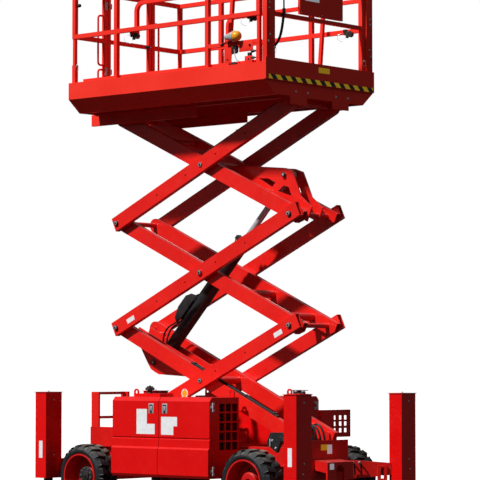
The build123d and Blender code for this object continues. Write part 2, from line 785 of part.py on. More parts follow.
def rod_gussets():
    """The pierced gussets over the uppermost inner arms that hold the rod's pin."""
    outline = [(1150, 60), (912, 166), (758, 222), (474, 322), (363, 333), (245, 233),
               (145, 143), (-35, 97), (-35, -60), (1150, -60)]
    openings = [[(452, 74), (402, 160), (332, 166), (257, 98)],
                [(746, 99), (632, 144), (515, 148), (544, 81)]]
    pin = (rod_pin_along, rod_pin_off)
    pieces = ear_plates(3, outline, openings, pin, 66)
    pieces += ear_stubs(3, [(80, 0), (600, 0), (1080, 0)])
    x, z = arm_point(3, "inner", *pin)
    y0 = barrel_radius + ear_gap
    lip = [arm_point(3, "inner", *p) for p in ((474, 322), (363, 333), (363, 327), (474, 316))]
    for _, side in SIDES:
        pieces.append(rod_y(x, z, side * (y0 - 22), side * (y0 + ear_plate + 24),
                            cylinder_pin_radius))
        pieces.append(plate_xz(lip, side * (y0 - 26), side * (y0 + 1)))
    return pieces


def shaft_reach(stage, along):
    """How far out a shaft or centre pin stands, at its place along the outer arms."""
    if stage == 1 and along == 0:
        return channel_in_y + roller_width
    if stage == stages and along == arm_length:
        return outer_arm_y + 38
    if along == arm_length / 2 and stage != 2:
        return outer_arm_y + low_pin_end
    return outer_arm_y + pin_end


def inner_arms(stage):
    """The inner pair of arms of a stage with the tubes that join them."""
    pieces = []
    for _, side in SIDES:
        pieces.append(arm_bar(stage, "inner", side * inner_clear_y, side * inner_arm_y))
    spots = {1: (220, arm_length / 2), 2: (220, 800), 3: (arm_length / 2, 2000)}
    for along in spots[stage]:
        x, z = arm_point(stage, "inner", along, 0)
        pieces.append(rod_y(x, z, -inner_clear_y - 1, inner_clear_y + 1, cross_tube_radius))
    cx, cz = arm_point(stage, "inner", arm_length / 2, 0)
    reach = shaft_reach(stage, arm_length / 2)
    for _, side in SIDES:
        pieces.append(rod_y(cx, cz, side * (inner_clear_y + 1), side * reach,
                            centre_pin_radius))
    if stage == stages:
        x, z = arm_point(stage, "inner", arm_length, 0)
        reach = channel_in_y + roller_width
        pieces.append(rod_y(x, z, -reach, reach, pin_radius))
        for _, side in SIDES:
            pieces.append(rod_y(x, z, side * (channel_in_y + 2), side * reach, roller_radius))
    if stage == 1:
        pieces += barrel_gussets()
    if stage == stages:
        pieces += rod_gussets()
    whole = fuse(pieces)
    ends = (0, arm_length) if stage < stages else (0,)
    for along in ends:
        x, z = arm_point(stage, "inner", along, 0)
        whole = whole - rod_y(x, z, -inner_arm_y - 1, inner_arm_y + 1, pin_radius + running_gap)
    return whole


def outer_arms(stage):
    """The outer pair of arms of a stage with the shafts at both ends."""
    pieces = []
    inner_face = outer_arm_y - arm_width
    for _, side in SIDES:
        pieces.append(arm_bar(stage, "outer", side * inner_face, side * outer_arm_y))
    for along in (0, arm_length):
        x, z = arm_point(stage, "outer", along, 0)
        reach = shaft_reach(stage, along)
        if stage == 2 and along == 0:
            for _, side in SIDES:
                pieces.append(rod_y(x, z, side * (inner_clear_y - 8), side * reach, pin_radius))
        else:
            pieces.append(rod_y(x, z, -reach, reach, pin_radius))
        if stage == 1 and along == 0:
            for _, side in SIDES:
                pieces.append(rod_y(x, z, side * (channel_in_y + 2), side * reach,
                                    roller_radius))
    whole = fuse(pieces)
    x, z = arm_point(stage, "outer", arm_length / 2, 0)
    for _, side in SIDES:
        whole = whole - rod_y(x, z, side * (inner_face - 1), side * (outer_arm_y + 1),
                              centre_pin_radius + running_gap)
    return whole


def arm_hoses():
    """Hydraulic hoses clipped along the top of the near lowest inner arm."""
    hoses = []
    off = arm_depth / 2 + hose_radius
    for y in (-inner_clear_y - 12, -inner_clear_y - 34):
        start = arm_point(1, "inner", 300, off)
        stop = arm_point(1, "inner", 1600, off)
        run = math.hypot(stop[0] - start[0], stop[1] - start[1])
        bar = Pos(start[0], y, start[1]) * Rot(0, rest_angle - 180, 0) * Pos(run / 2, 0, 0)
        hoses.append(bar * Rot(0, 90, 0) * Cylinder(hose_radius, run))
    return hoses


# ---- Lift cylinder -------------------------------------------------------------------

barrel_pin = arm_point(1, "inner", barrel_pin_along, barrel_pin_off)
rod_pin = arm_point(3, "inner", rod_pin_along, rod_pin_off)
cylinder_length = math.hypot(rod_pin[0] - barrel_pin[0], rod_pin[1] - barrel_pin[1])
cylinder_angle = math.degrees(math.atan2(rod_pin[1] - barrel_pin[1],
                                         rod_pin[0] - barrel_pin[0]))


def along_cylinder(piece):
    """Place a piece drawn along +X from the barrel's pin onto the cylinder's line."""
    return Pos(barrel_pin[0], 0, barrel_pin[1]) * Rot(0, -cylinder_angle, 0) * piece


def bar_x(x0, x1, radius):
    """A round bar along X on the axis."""
    return Pos((x0 + x1) / 2, 0, 0) * Rot(0, 90, 0) * Cylinder(radius, x1 - x0)


def lift_barrel():
    """The barrel of the lift cylinder with its eye, collars and open bore."""
    bore = cylinder_pin_radius + running_gap
    eye_side = barrel_radius - 4
    body = fuse([rod_y(0, 0, -eye_side, eye_side, eye_radius),
                 bar_x(eye_radius - 15, barrel_length, barrel_radius),
                 bar_x(barrel_length - 90, barrel_length, collar_radius)])
    body = body - rod_y(0, 0, -barrel_radius, barrel_radius, bore)
    body = body - bar_x(barrel_base, barrel_length - gland_length, barrel_bore)
    body = body - bar_x(barrel_length - gland_length - 1, barrel_length + 1, rod_radius + 0.3)
    return along_cylinder(body)


def lift_rod():
    """The rod of the lift cylinder with its piston and eye."""
    bore = cylinder_pin_radius + 2.0
    start = piston_place
    body = fuse([bar_x(start, cylinder_length - 20, rod_radius),
                 bar_x(start, start + piston_length, barrel_bore - 0.3),
                 rod_y(cylinder_length, 0, -eye_half, eye_half, eye_radius)])
    body = body - rod_y(cylinder_length, 0, -barrel_radius, barrel_radius, bore)
    return along_cylinder(body)


# ---- Platform ------------------------------------------------------------------------

def platform_deck():
    """The platform frame: sloped skirts, deck plate, beams, slide channels and brackets."""
    w = deck_half_width
    pieces = [block(deck_rear_x, deck_front_x - front_plate, -w + sheet, w - sheet,
                    deck_z - sheet, deck_z)]
    for _, side in SIDES:
        toe = w - toe_board_in
        skirt = [(side * w, fascia_top_z), (side * toe, fascia_top_z),
                 (side * toe, fascia_top_z - sheet), (side * (w - sheet), fascia_top_z - sheet),
                 (side * (w - sheet), fascia_bottom_z), (side * (w - skirt_in), skirt_z + sheet),
                 (side * (w - skirt_in - 60), skirt_z + sheet),
                 (side * (w - skirt_in - 60), skirt_z),
                 (side * (w - skirt_in), skirt_z), (side * w, fascia_bottom_z)]
        pieces.append(prism_x(skirt, deck_rear_x, deck_front_x))
        pieces.append(side_block(side, rail_rear_x + 95, rail_front_x - 23, toe - sheet, toe + 1,
                                 deck_z - 1, fascia_top_z + toe_board_rise))
        pieces.append(side_block(side, deck_front_x - front_plate + 8, deck_front_x, 200, 460,
                                 deck_pin_z - 28, deck_z - sheet))
        beam_y = channel_out_y
        x0 = slide_low_x - roller_radius - 60
        x1 = slide_high_x + roller_radius + 60
        pieces.append(slide_channel(x0, x1, deck_pin_z, side))
        pieces.append(side_block(side, deck_rear_x, deck_front_x - 1, beam_y - channel_wall,
                                 beam_y + 50, deck_pin_z + 40, deck_z - sheet + 1))
        pin_y = outer_arm_y - arm_width
        for y0 in (pin_y - ear_gap - 16, outer_arm_y + ear_gap):
            ear = side_block(side, base_pivot_x - 60, deck_front_x - 1, y0, y0 + 16,
                             deck_pin_z - 29, deck_z - sheet + 1)
            pieces.append(ear)
    for x in (deck_rear_x + sheet, -700, 0, deck_front_x - 1):
        pieces.append(end_sheet(x))
    whole = fuse(pieces)
    for _, side in SIDES:
        whole = whole - rod_y(base_pivot_x, deck_pin_z, side * 200, side * 520,
                              pin_radius + running_gap)
    return whole


def end_sheet(x):
    """A cross sheet under the deck, cut to the slope of the skirts."""
    w = deck_half_width - 1
    points = [(-w, deck_z - 1), (w, deck_z - 1), (w, fascia_bottom_z),
              (w - skirt_in, skirt_z + 1), (channel_out_y + 51, skirt_z + 1),
              (channel_out_y + 51, deck_z - 70), (-channel_out_y - 51, deck_z - 70),
              (-channel_out_y - 51, skirt_z + 1), (-w + skirt_in, skirt_z + 1),
              (-w, fascia_bottom_z)]
    return prism_x(points, x - sheet, x)


def square_bar(p0, p1, size):
    """A square tube along one axis between two points."""
    half = size / 2
    lo = [min(a, b) - half for a, b in zip(p0, p1)]
    hi = [max(a, b) + half for a, b in zip(p0, p1)]
    return block(lo[0], hi[0], lo[1], hi[1], lo[2], hi[2])


def platform_rails():
    """The fixed guard rails on the sides and at the rear, with the gate's opening."""
    pieces = []
    half = rail_tube / 2
    post_x = (rail_rear_x, rear_post_x, middle_post_x, rail_front_x)
    for _, side in SIDES:
        y = side * rail_y
        for z in (mid_rail_z, top_rail_z):
            pieces.append(square_bar((rail_rear_x, y, z), (rail_front_x, y, z), rail_tube))
        for x in post_x:
            foot = mid_rail_z if x in (rail_rear_x, rail_front_x) else fascia_top_z + half
            pieces.append(square_bar((x, y, foot), (x, y, top_rail_z), rail_tube))
            if foot == mid_rail_z:
                pieces.append(square_bar((x, y, fascia_top_z + stub_post / 2),
                                         (x, y, mid_rail_z), stub_post))
                pieces.append(block(x - half, x + half, y - half, y + half, fascia_top_z,
                                    fascia_top_z + socket_height))
        for z in (mid_rail_z, top_rail_z):
            pieces.append(square_bar((rail_rear_x, y, z),
                                     (rail_rear_x, side * (gate_half_width + half), z),
                                     rail_tube))
        gate_post = side * (gate_half_width + half)
        pieces.append(square_bar((rail_rear_x, gate_post, deck_z + half),
                                 (rail_rear_x, gate_post, top_rail_z), rail_tube))
        for z0, z1 in handle_spans:
            pieces.append(grab_handle(gate_post, side, z0, z1))
    pieces.append(square_bar((middle_post_x, -rail_y, beacon_bar_z),
                             (rail_front_x, -rail_y, beacon_bar_z), rail_tube - 5))
    for z in gate_hinge_z:
        lug = block(gate_hinge_x - 9, gate_hinge_x + 9, gate_hinge_y - 18, gate_hinge_y,
                    z - 44, z - 30.3)
        lug = lug + rod_z(gate_hinge_x, gate_hinge_y, z - 44, z - 30.3, 9)
        pin = rod_z(gate_hinge_x, gate_hinge_y, z - 40, z + 30, hinge_pin)
        pieces += [lug, pin]
    return fuse(pieces)


def grab_handle(post_y, side, z0, z1):
    """An upright D-shaped handle on the outer face of a gate post."""
    inner = post_y + side * (rail_tube / 2 - 1)
    outer = post_y + side * (rail_tube / 2 + handle_out)
    corners = [(rail_rear_x, inner, z0), (rail_rear_x, outer, z0), (rail_rear_x, outer, z1),
               (rail_rear_x, inner, z1)]
    return bent_bar(corners, Circle(handle_radius), 3 * handle_radius)


def entry_gate():
    """The rear gate, hinged on its far post."""
    y = gate_half_width - rail_tube / 2 - 8
    pieces = []
    for z in (deck_z + 200, mid_rail_z, top_rail_z - 4):
        pieces.append(square_bar((rail_rear_x, -y, z), (rail_rear_x, y, z), rail_tube - 5))
    for side in (-1, 1):
        pieces.append(square_bar((rail_rear_x, side * y, deck_z + 200),
                                 (rail_rear_x, side * y, top_rail_z - 4), rail_tube - 5))
    for z in gate_hinge_z:
        knuckle = rod_z(gate_hinge_x, gate_hinge_y, z - 30, z + 30, hinge_pin + 5)
        leaf = block(gate_hinge_x - 12, gate_hinge_x, gate_hinge_y, gate_hinge_y + 30, z - 30,
                     z + 30)
        pieces += [knuckle, leaf]
    gate = fuse(pieces)
    for z in gate_hinge_z:
        gate = gate - rod_z(gate_hinge_x, gate_hinge_y, z - 31, z + 31, hinge_pin + running_gap)
    return gate


def extension_deck():
    """The roll-out deck with its front toe plate."""
    y = rail_y - extension_rail_inset - 20
    toe_x = extension_front_x - front_plate
    floor = block(extension_rear_x, toe_x + 1, -y, y, deck_z + 12, deck_z + floor_top)
    toe = block(toe_x, extension_front_x, -deck_half_width, deck_half_width,
                deck_z - toe_plate_drop, fascia_top_z + toe_plate_rise)
    pieces = [floor, toe]
    for _, side in SIDES:
        pieces.append(side_block(side, extension_rear_x, toe_x, y - 60, y - 20, deck_z + 0.3,
                                 deck_z + 13))
    return fuse(pieces)


def extension_rails():
    """The guard rails that travel with the roll-out deck."""
    pieces = []
    y_side = extension_rail_y
    front_x = extension_front_x - front_plate - front_rail_in
    side_z = top_rail_z - side_rail_drop
    foot_z = deck_z + floor_top
    heel_x = extension_rear_x - 20
    for _, side in SIDES:
        y = side * y_side
        pieces.append(bent_bar([(heel_x, y, mid_rail_z - 45), (heel_x, y, side_z),
                                (front_x, y, side_z)], Rectangle(40, 40), 90))
        pieces.append(square_bar((front_x, y, foot_z + 25), (front_x, y, top_rail_z), 50))
        pieces.append(side_block(side, heel_x - 28, heel_x + 28, y_side + 19,
                                 rail_y - rail_tube / 2 - 1, mid_rail_z - 45,
                                 mid_rail_z + 15))
        strut = [(brace_x - 70, y, foot_z - 4), (brace_x, y, side_z)]
        start = Plane(origin=strut[0], z_dir=(70, 0, side_z - foot_z))
        length = math.hypot(70, side_z - foot_z + 4)
        bar = extrude(start * Rectangle(36, 36), length)
        limit = side_block(side, extension_rear_x, front_x, 0, deck_half_width, foot_z, side_z)
        pieces.append(bar & limit)
    for z in (mid_rail_z, top_rail_z):
        pieces.append(square_bar((front_x, -y_side, z), (front_x, y_side, z), 40))
    return fuse(pieces)


def control_box():
    """The upper control box on the extension's front rail."""
    front_x = extension_front_x - front_plate - front_rail_in
    near = -extension_rail_y + control_box_in
    return block(front_x - 220, front_x - 20.3, near, near + 300, top_rail_z - 190,
                 top_rail_z + 10)


def document_box():
    """The flat panel hung under the extension's front rail."""
    front_x = extension_front_x - front_plate - front_rail_in
    return block(front_x - 10, front_x + 18, -extension_rail_y + panel_in[0],
                 extension_rail_y - panel_in[1], mid_rail_z + 38, top_rail_z - 20.3)


def control_cable():
    """The cable from the control box down past the front rail to the roll-out deck."""
    front_x = extension_front_x - front_plate - front_rail_in
    out = front_x + 20 + cable_radius + 4
    places = [(front_x - 60, control_box_in - 0.3, top_rail_z - 150),
              (front_x - 10, 213, top_rail_z - 190), (out - 6, 161, top_rail_z - 380),
              (out, 138, mid_rail_z + 20), (out - 2, 123, mid_rail_z - 160),
              (front_x - 6, 91, mid_rail_z - 330), (front_x - 34, 73, deck_z + floor_top + 0.3)]
    points = [(x, -extension_rail_y + y_in, z) for x, y_in, z in places]
    return hose(points, [(0, -1, 0), (0, 0, -1)], cable_radius)


# ---- Write every node ----------------------------------------------------------------

def wheel_place(end, side):
    """Where a wheel's centre stands."""
    return Pos(front_axle_x if end > 0 else rear_axle_x, side * wheel_y, tyre_radius)


def main():
    """Build and write all the nodes."""
    os.makedirs("parts", exist_ok=True)
    write("main_frame", main_frame())
    write("front_axle", front_axle())
    write("rear_axle", rear_axle())
    write("outrigger_beams", [outrigger_beam(1), outrigger_beam(-1)])
    write("wheel_guard", wheel_guard())
    write("service_blocks", service_blocks())
    write("arm_hoses", arm_hoses())
    write("outrigger_legs", [leg_housing(e, s) for _, e in ENDS for _, s in SIDES])
    write("ladder", ladder())
    for side_name, side in SIDES:
        write(side_name + "_housing", housing(side))
        write("front_" + side_name + "_knuckle", front_knuckle(side))
        for end_name, end in ENDS:
            spot = end_name + "_" + side_name
            write(spot + "_door", housing_door(end, side))
            write(spot + "_jack", leg_jack(end, side))
            write(spot + "_tyre", wheel_place(end, side) * tyre())
            hub_out = front_hub_out if end > 0 else rear_hub_out
            write(spot + "_rim", wheel_place(end, side) * rim(side, hub_out))
    for stage in range(1, stages + 1):
        write("inner_arms_%d" % stage, inner_arms(stage))
        write("outer_arms_%d" % stage, outer_arms(stage))
    write("lift_barrel", lift_barrel())
    write("lift_rod", lift_rod())
    write("platform_deck", platform_deck())
    write("platform_rails", platform_rails())
    write("entry_gate", entry_gate())
    write("extension_deck", extension_deck())
    write("extension_rails", extension_rails())
    write("control_box", control_box())
    write("document_box", document_box())
    write("control_cable", control_cable())


main()
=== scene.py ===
import bpy
import bmesh
import json
import math
from mathutils import Matrix, Vector


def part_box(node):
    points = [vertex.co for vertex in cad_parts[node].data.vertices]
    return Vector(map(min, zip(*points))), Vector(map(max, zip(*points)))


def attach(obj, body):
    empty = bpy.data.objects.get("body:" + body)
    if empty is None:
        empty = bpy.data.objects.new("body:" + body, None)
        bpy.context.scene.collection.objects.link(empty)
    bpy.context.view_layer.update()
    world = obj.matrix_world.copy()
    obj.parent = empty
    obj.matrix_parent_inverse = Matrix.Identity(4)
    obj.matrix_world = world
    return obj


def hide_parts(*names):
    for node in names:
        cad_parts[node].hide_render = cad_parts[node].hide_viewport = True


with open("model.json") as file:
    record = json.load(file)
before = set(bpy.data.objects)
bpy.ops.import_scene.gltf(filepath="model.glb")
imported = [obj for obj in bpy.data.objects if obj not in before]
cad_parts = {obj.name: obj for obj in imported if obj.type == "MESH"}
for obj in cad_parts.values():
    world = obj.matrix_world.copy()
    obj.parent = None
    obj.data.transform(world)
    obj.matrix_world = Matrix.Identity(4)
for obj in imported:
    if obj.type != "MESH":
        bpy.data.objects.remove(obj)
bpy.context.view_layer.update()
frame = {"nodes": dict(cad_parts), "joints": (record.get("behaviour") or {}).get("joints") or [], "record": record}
sides = (("near", -1), ("far", 1))
ends = (("front", 1), ("rear", -1))
xWay, yWay, zWay = Vector((1, 0, 0)), Vector((0, 1, 0)), Vector((0, 0, 1))
pins = {joint["name"]: Vector(joint["pos_m"]) for joint in frame["joints"] if "pos_m" in joint}
print("frame loaded")


def meshObject(name, bm):
    mesh = bpy.data.meshes.new(name)
    bm.to_mesh(mesh)
    bm.free()
    made = bpy.data.objects.new(name, mesh)
    bpy.context.scene.collection.objects.link(made)
    return made


# values go to sockets: another node's output is linked, anything else is set
def newNode(tree, kind, values=None, **settings):
    node = tree.nodes.new("ShaderNode" + kind)
    for key, value in settings.items():
        setattr(node, key, value)
    for socket, value in (values or {}).items():
        target = node.inputs[socket]
        if hasattr(value, "links"):
            tree.links.new(value, target)
        else:
            target.default_value = (*value, 1) if target.type == "RGBA" else value
    return node


def ranged(tree, value, low, high, toLow=0.0, toHigh=1.0):
    node = newNode(tree, "MapRange", {"Value": value, "From Min": low, "From Max": high,
                                      "To Min": toLow, "To Max": toHigh})
    return node.outputs["Result"]


studio = {
    "backdrop": (1.0, 1.0, 1.0), "backdropStrength": 1.0,
    "skyStrength": 0.30, "groundStrength": 0.05, "horizon": (-0.15, 0.75),
    "sunStrength": 4.4, "sunSoftness": 4.0, "sunFrom": (-0.12, -0.70, 0.78),
    "floorColor": (0.985, 0.985, 0.985), "floorRoughness": 0.85, "floorHalf": 60.0,
}
eye = {"place": (16.507, -18.269, 1.473), "turn": 41.654, "tilt": 3.06, "lens": 176.85,
       "reach": 300.0}


def makeWorld():
    world = bpy.data.worlds.new("studioWorld")
    bpy.context.scene.world = world
    world.use_nodes = True
    tree = world.node_tree
    tree.nodes.clear()
    way = newNode(tree, "TexCoord")
    split = newNode(tree, "SeparateXYZ", {0: way.outputs["Generated"]})
    light = ranged(tree, split.outputs["Z"], *studio["horizon"], studio["groundStrength"],
                   studio["skyStrength"])
    fill = newNode(tree, "Background", {"Strength": light})
    seen = newNode(tree, "Background", {"Color": studio["backdrop"],
                                        "Strength": studio["backdropStrength"]})
    rays = newNode(tree, "LightPath")
    mix = newNode(tree, "MixShader", {0: rays.outputs["Is Camera Ray"], 1: fill.outputs[0],
                                      2: seen.outputs[0]})
    newNode(tree, "OutputWorld", {0: mix.outputs[0]})


def makeSun():
    sun = bpy.data.lights.new("keySun", "SUN")
    sun.energy = studio["sunStrength"]
    sun.angle = math.radians(studio["sunSoftness"])
    made = bpy.data.objects.new("keySun", sun)
    made.rotation_mode = "QUATERNION"
    made.rotation_quaternion = Vector(studio["sunFrom"]).to_track_quat("Z", "Y")
    bpy.context.scene.collection.objects.link(made)


def makeFloor():
    bm = bmesh.new()
    bmesh.ops.create_grid(bm, x_segments=1, y_segments=1, size=studio["floorHalf"])
    floor = meshObject("studioFloor", bm)
    material = bpy.data.materials.new("paleFloor")
    material.use_nodes = True
    shader = material.node_tree.nodes["Principled BSDF"].inputs
    shader["Base Color"].default_value = (*studio["floorColor"], 1)
    shader["Roughness"].default_value = studio["floorRoughness"]
    floor.data.materials.append(material)
    floor.visible_diffuse = False      # so that the pale floor does not light up undersides
    floor.visible_glossy = False


def makeCamera():
    camera = bpy.data.cameras.new("photoCamera")
    camera.lens = eye["lens"]
    camera.sensor_width = 36.0
    camera.clip_end = eye["reach"]
    made = bpy.data.objects.new("photoCamera", camera)
    made.location = eye["place"]
    made.rotation_euler = (math.radians(90 + eye["tilt"]), 0, math.radians(eye["turn"]))
    bpy.context.scene.collection.objects.link(made)
    bpy.context.scene.camera = made
    bpy.context.scene.view_settings.view_transform = "Standard"


makeWorld()
makeSun()
makeFloor()
makeCamera()
print("studio made")


def mixColor(tree, factor, first, second):
    return newNode(tree, "Mix", {0: factor, 6: first, 7: second}, data_type="RGBA").outputs[2]


def noiseOf(tree, coords, scale, detail):
    node = newNode(tree, "TexNoise", {"Scale": scale, "Detail": detail,
                                      "Vector": coords.outputs["Object"]})
    return node.outputs["Fac"]


plainLook = {
    "patch": 3.0, "roughness": 0.4, "roughSpread": 0.1, "metallic": 0.0, "coat": 0.0,
    "coatRoughness": 0.1, "specular": 0.5, "glow": 0.0, "grain": 600.0, "grainDepth": 0.0003,
    "dust": 0.0, "dustColor": (0.36, 0.33, 0.31), "rub": 0.0, "rubColor": (0.5, 0.45, 0.43),
}


# a finish drifts between two colours, wears in spots, and takes a paler tint on what faces up, which is partly
# dust and partly a painted sheen of the light from above
def makeFinish(name, color, shade, **changes):
    look = {**plainLook, **changes}
    material = bpy.data.materials.new(name)
    material.use_nodes = True
    tree = material.node_tree
    shader = tree.nodes["Principled BSDF"].inputs
    for socket, key in (("Metallic", "metallic"), ("Coat Weight", "coat"),
                        ("Coat Roughness", "coatRoughness"), ("Specular IOR Level", "specular")):
        shader[socket].default_value = look[key]
    # the glow is painted light: it makes a part that is no lamp shine, so it stays bright in shade
    if look["glow"] > 0:
        shader["Emission Color"].default_value = (*color, 1)
        shader["Emission Strength"].default_value = look["glow"]
    coords = newNode(tree, "TexCoord")
    patch = ranged(tree, noiseOf(tree, coords, look["patch"], 4.0), 0.35, 0.65)
    tint = mixColor(tree, patch, color, shade)
    if look["rub"] > 0:
        rub = ranged(tree, noiseOf(tree, coords, 60.0, 6.0), 0.66, 0.72, 0.0, look["rub"])
        tint = mixColor(tree, rub, tint, look["rubColor"])
    # the paler tint on upward faces is dust and also a painted sheen, as if the light from above lit the tops
    if look["dust"] > 0:
        normal = newNode(tree, "NewGeometry").outputs["Normal"]
        split = newNode(tree, "SeparateXYZ", {0: normal})
        up = ranged(tree, split.outputs["Z"], 0.55, 1.0, 0.0, look["dust"])
        dustAndSheenMask = ranged(tree, noiseOf(tree, coords, 9.0, 5.0), 0.3, 0.62, 0.3, 1.0)
        dustAndSheenMask = newNode(tree, "Math", {0: up, 1: dustAndSheenMask}, operation="MULTIPLY").outputs[0]
        tint = mixColor(tree, dustAndSheenMask, tint, look["dustColor"])
    tree.links.new(tint, shader["Base Color"])
    rough = ranged(tree, noiseOf(tree, coords, look["patch"] * 7, 5.0), 0.3, 0.7,
                   look["roughness"] - look["roughSpread"],
                   look["roughness"] + look["roughSpread"])
    tree.links.new(rough, shader["Roughness"])
    bump = newNode(tree, "Bump", {"Distance": look["grainDepth"], "Strength": 0.6})
    tree.links.new(noiseOf(tree, coords, look["grain"], 2.0), bump.inputs["Height"])
    tree.links.new(bump.outputs["Normal"], shader["Normal"])
    return material


plated = {"patch": 60.0, "grain": 1500.0}
printed = {"roughness": 0.42, "patch": 30.0, "grain": 1600.0, "grainDepth": 0.00005}
finishes = {
    # on the red enamels the pink tint of upward faces is a painted sheen of light from above as well as dust
    "red": makeFinish("redEnamel", (0.80, 0.014, 0.009), (0.72, 0.010, 0.007),
                      roughness=0.34, coat=0.25, coatRoughness=0.14, patch=2.2, specular=0.42,
                      dust=0.35, dustColor=(0.62, 0.2, 0.2), rub=0.08),
    "railRed": makeFinish("railEnamel", (0.90, 0.040, 0.026), (0.84, 0.032, 0.020),
                          roughness=0.34, coat=0.03, coatRoughness=0.14, patch=2.2, specular=0.1,
                          dust=0.3, dustColor=(0.66, 0.24, 0.22), rub=0.08),
    "panelRed": makeFinish("panelEnamel", (0.72, 0.004, 0.004), (0.66, 0.003, 0.003),
                           roughness=0.26, coat=0.2, coatRoughness=0.08, patch=1.6,
                           specular=0.35, dust=0.25, dustColor=(0.5, 0.12, 0.12), rub=0.05),
    "frameRed": makeFinish("frameEnamel", (0.7, 0.010, 0.008), (0.58, 0.008, 0.006),
                           roughness=0.36, coat=0.12, coatRoughness=0.18, specular=0.3,
                           dust=0.3, dustColor=(0.5, 0.2, 0.18), rub=0.2),
    "rimRed": makeFinish("rimEnamel", (0.6, 0.008, 0.006), (0.5, 0.006, 0.005),
                         roughness=0.34, coat=0.3, coatRoughness=0.15, patch=8.0, dust=0.2),
    "black": makeFinish("satinBlack", (0.012, 0.012, 0.013), (0.022, 0.022, 0.024),
                        roughness=0.38, patch=12.0, dust=0.15),
    "chrome": makeFinish("hardChrome", (0.66, 0.67, 0.72), (0.58, 0.59, 0.64),
                         metallic=0.4, roughness=0.16, roughSpread=0.05, patch=30.0,
                         grain=900.0, grainDepth=0.00005),
    "zinc": makeFinish("zincPlate", (0.74, 0.75, 0.77), (0.54, 0.55, 0.57),
                       metallic=0.6, roughness=0.36, **plated),
    "steel": makeFinish("dullSteel", (0.16, 0.17, 0.17), (0.09, 0.10, 0.10),
                        metallic=0.5, roughness=0.42, **plated),
    "rubber": makeFinish("tyreRubber", (0.008, 0.011, 0.014), (0.014, 0.016, 0.018),
                         roughness=0.62, patch=14.0, dust=0.85, dustColor=(0.24, 0.22, 0.19),
                         grain=260.0, grainDepth=0.001, specular=0.3),
    "hose": makeFinish("hoseCover", (0.006, 0.006, 0.007), (0.012, 0.012, 0.012),
                       roughness=0.5, patch=40.0, grain=700.0, grainDepth=0.0005,
                       specular=0.25),
    "plastic": makeFinish("blackPlastic", (0.014, 0.014, 0.015), (0.02, 0.02, 0.02),
                          roughness=0.45, patch=30.0, grain=1100.0),
    "cavity": makeFinish("shadowedCavity", (0.02, 0.002, 0.002), (0.012, 0.001, 0.001),
                         roughness=0.8, patch=20.0, specular=0.1),
    "white": makeFinish("whiteDecal", (0.82, 0.82, 0.83), (0.72, 0.73, 0.74),
                        **{**printed, "roughness": 0.4}),
    "yellow": makeFinish("yellowDecal", (0.72, 0.50, 0.02), (0.62, 0.43, 0.02), **printed),
    # the hazard tape glows with painted light, so it stays bright where it stands in shade
    "hazard": makeFinish("hazardTape", (0.85, 0.52, 0.012), (0.78, 0.47, 0.010), glow=0.16,
                         **printed),
    # labels on shaded faces: the bluish tint and the glow are painted light that keeps them bright in shade
    "paintedLitLabel": makeFinish("paintedLitLabel", (0.80, 0.81, 0.88), (0.72, 0.74, 0.82), glow=0.22,
                              **{**printed, "roughness": 0.4}),
    "amber": makeFinish("amberLens", (0.95, 0.42, 0.02), (0.85, 0.34, 0.01), roughness=0.15,
                        roughSpread=0.05, coat=0.6, patch=30.0, grain=300.0, grainDepth=0.0004),
    "lightGrey": makeFinish("lightGreyPaint", (0.42, 0.44, 0.46), (0.36, 0.38, 0.4), patch=24.0),
    "engine": makeFinish("engineCasting", (0.05, 0.052, 0.055), (0.09, 0.09, 0.09),
                         roughness=0.6, patch=10.0, grain=240.0, grainDepth=0.0012),
    "greyPlastic": makeFinish("greyPlastic", (0.2, 0.21, 0.22), (0.16, 0.17, 0.18),
                              roughness=0.5, patch=20.0, grain=900.0),
}

nodeFinish = {"hose_rubber": "hose", "red_paint": "red", "frame_paint": "frameRed",
              "rim_paint": "rimRed", "black_paint": "black", "chrome_rod": "chrome",
              "tyre_rubber": "rubber", "grey_plastic": "greyPlastic"}
railNodes = ("platform_deck", "platform_rails", "entry_gate", "extension_deck",
             "extension_rails", "document_box")
for row in frame["record"]["subparts"]:
    name = row["node"]
    finishName = nodeFinish[row["material_slot"]]
    if name.endswith(("_housing", "_door")) or name == "outrigger_legs":
        finishName = "panelRed"
    if name in railNodes:
        finishName = "railRed"
    node = frame["nodes"][name]
    node.data.materials.clear()
    node.data.materials.append(finishes[finishName])
print("finishes made")

bodyOf = {node: body for body, nodes in frame["record"]["behaviour"]["bodies"].items()
          for node in nodes}


# rows are name, bmesh and finish, and a slot where it isn't the usual one of that finish; the slot is not used
def addPieces(carrier, *rows, sharp=35.0):
    for name, bm, finishName, *slot in rows:
        made = meshObject(name, bm)
        for face in made.data.polygons:
            face.use_smooth = True
        made.data.set_sharp_from_angle(angle=math.radians(sharp))
        made.data.materials.append(finishes[finishName])
        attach(made, bodyOf.get(carrier, carrier))
    return made


def fresh(count):
    return (bmesh.new() for k in range(count))


def vertsIn(geometry):
    return [item for item in geometry if isinstance(item, bmesh.types.BMVert)]


def bevelEdges(bm, edges, offset, segments=2):
    bmesh.ops.bevel(bm, geom=edges, offset=offset, affect="EDGES", segments=segments,
                    profile=0.5, material=-1)


# each shape is made by itself and then joined, so that its vertices come in one set order
def joinInto(bm, other):
    mesh = bpy.data.meshes.new("spare")
    other.to_mesh(mesh)
    other.free()
    bm.from_mesh(mesh)
    bpy.data.meshes.remove(mesh)


# extrude and spin leave their new faces in a chance order, so they are sorted by their corners
def inOrder(bm):
    bm.verts.index_update()
    count = len(bm.verts)

    def rank(item):
        corners = sorted(vert.index for vert in item.verts)
        return (corners[0] * count + corners[1]) * count + corners[-1]

    bm.edges.sort(key=rank)
    bm.faces.sort(key=rank)
    sortedOne = bmesh.new()
    joinInto(sortedOne, bm)
    return sortedOne


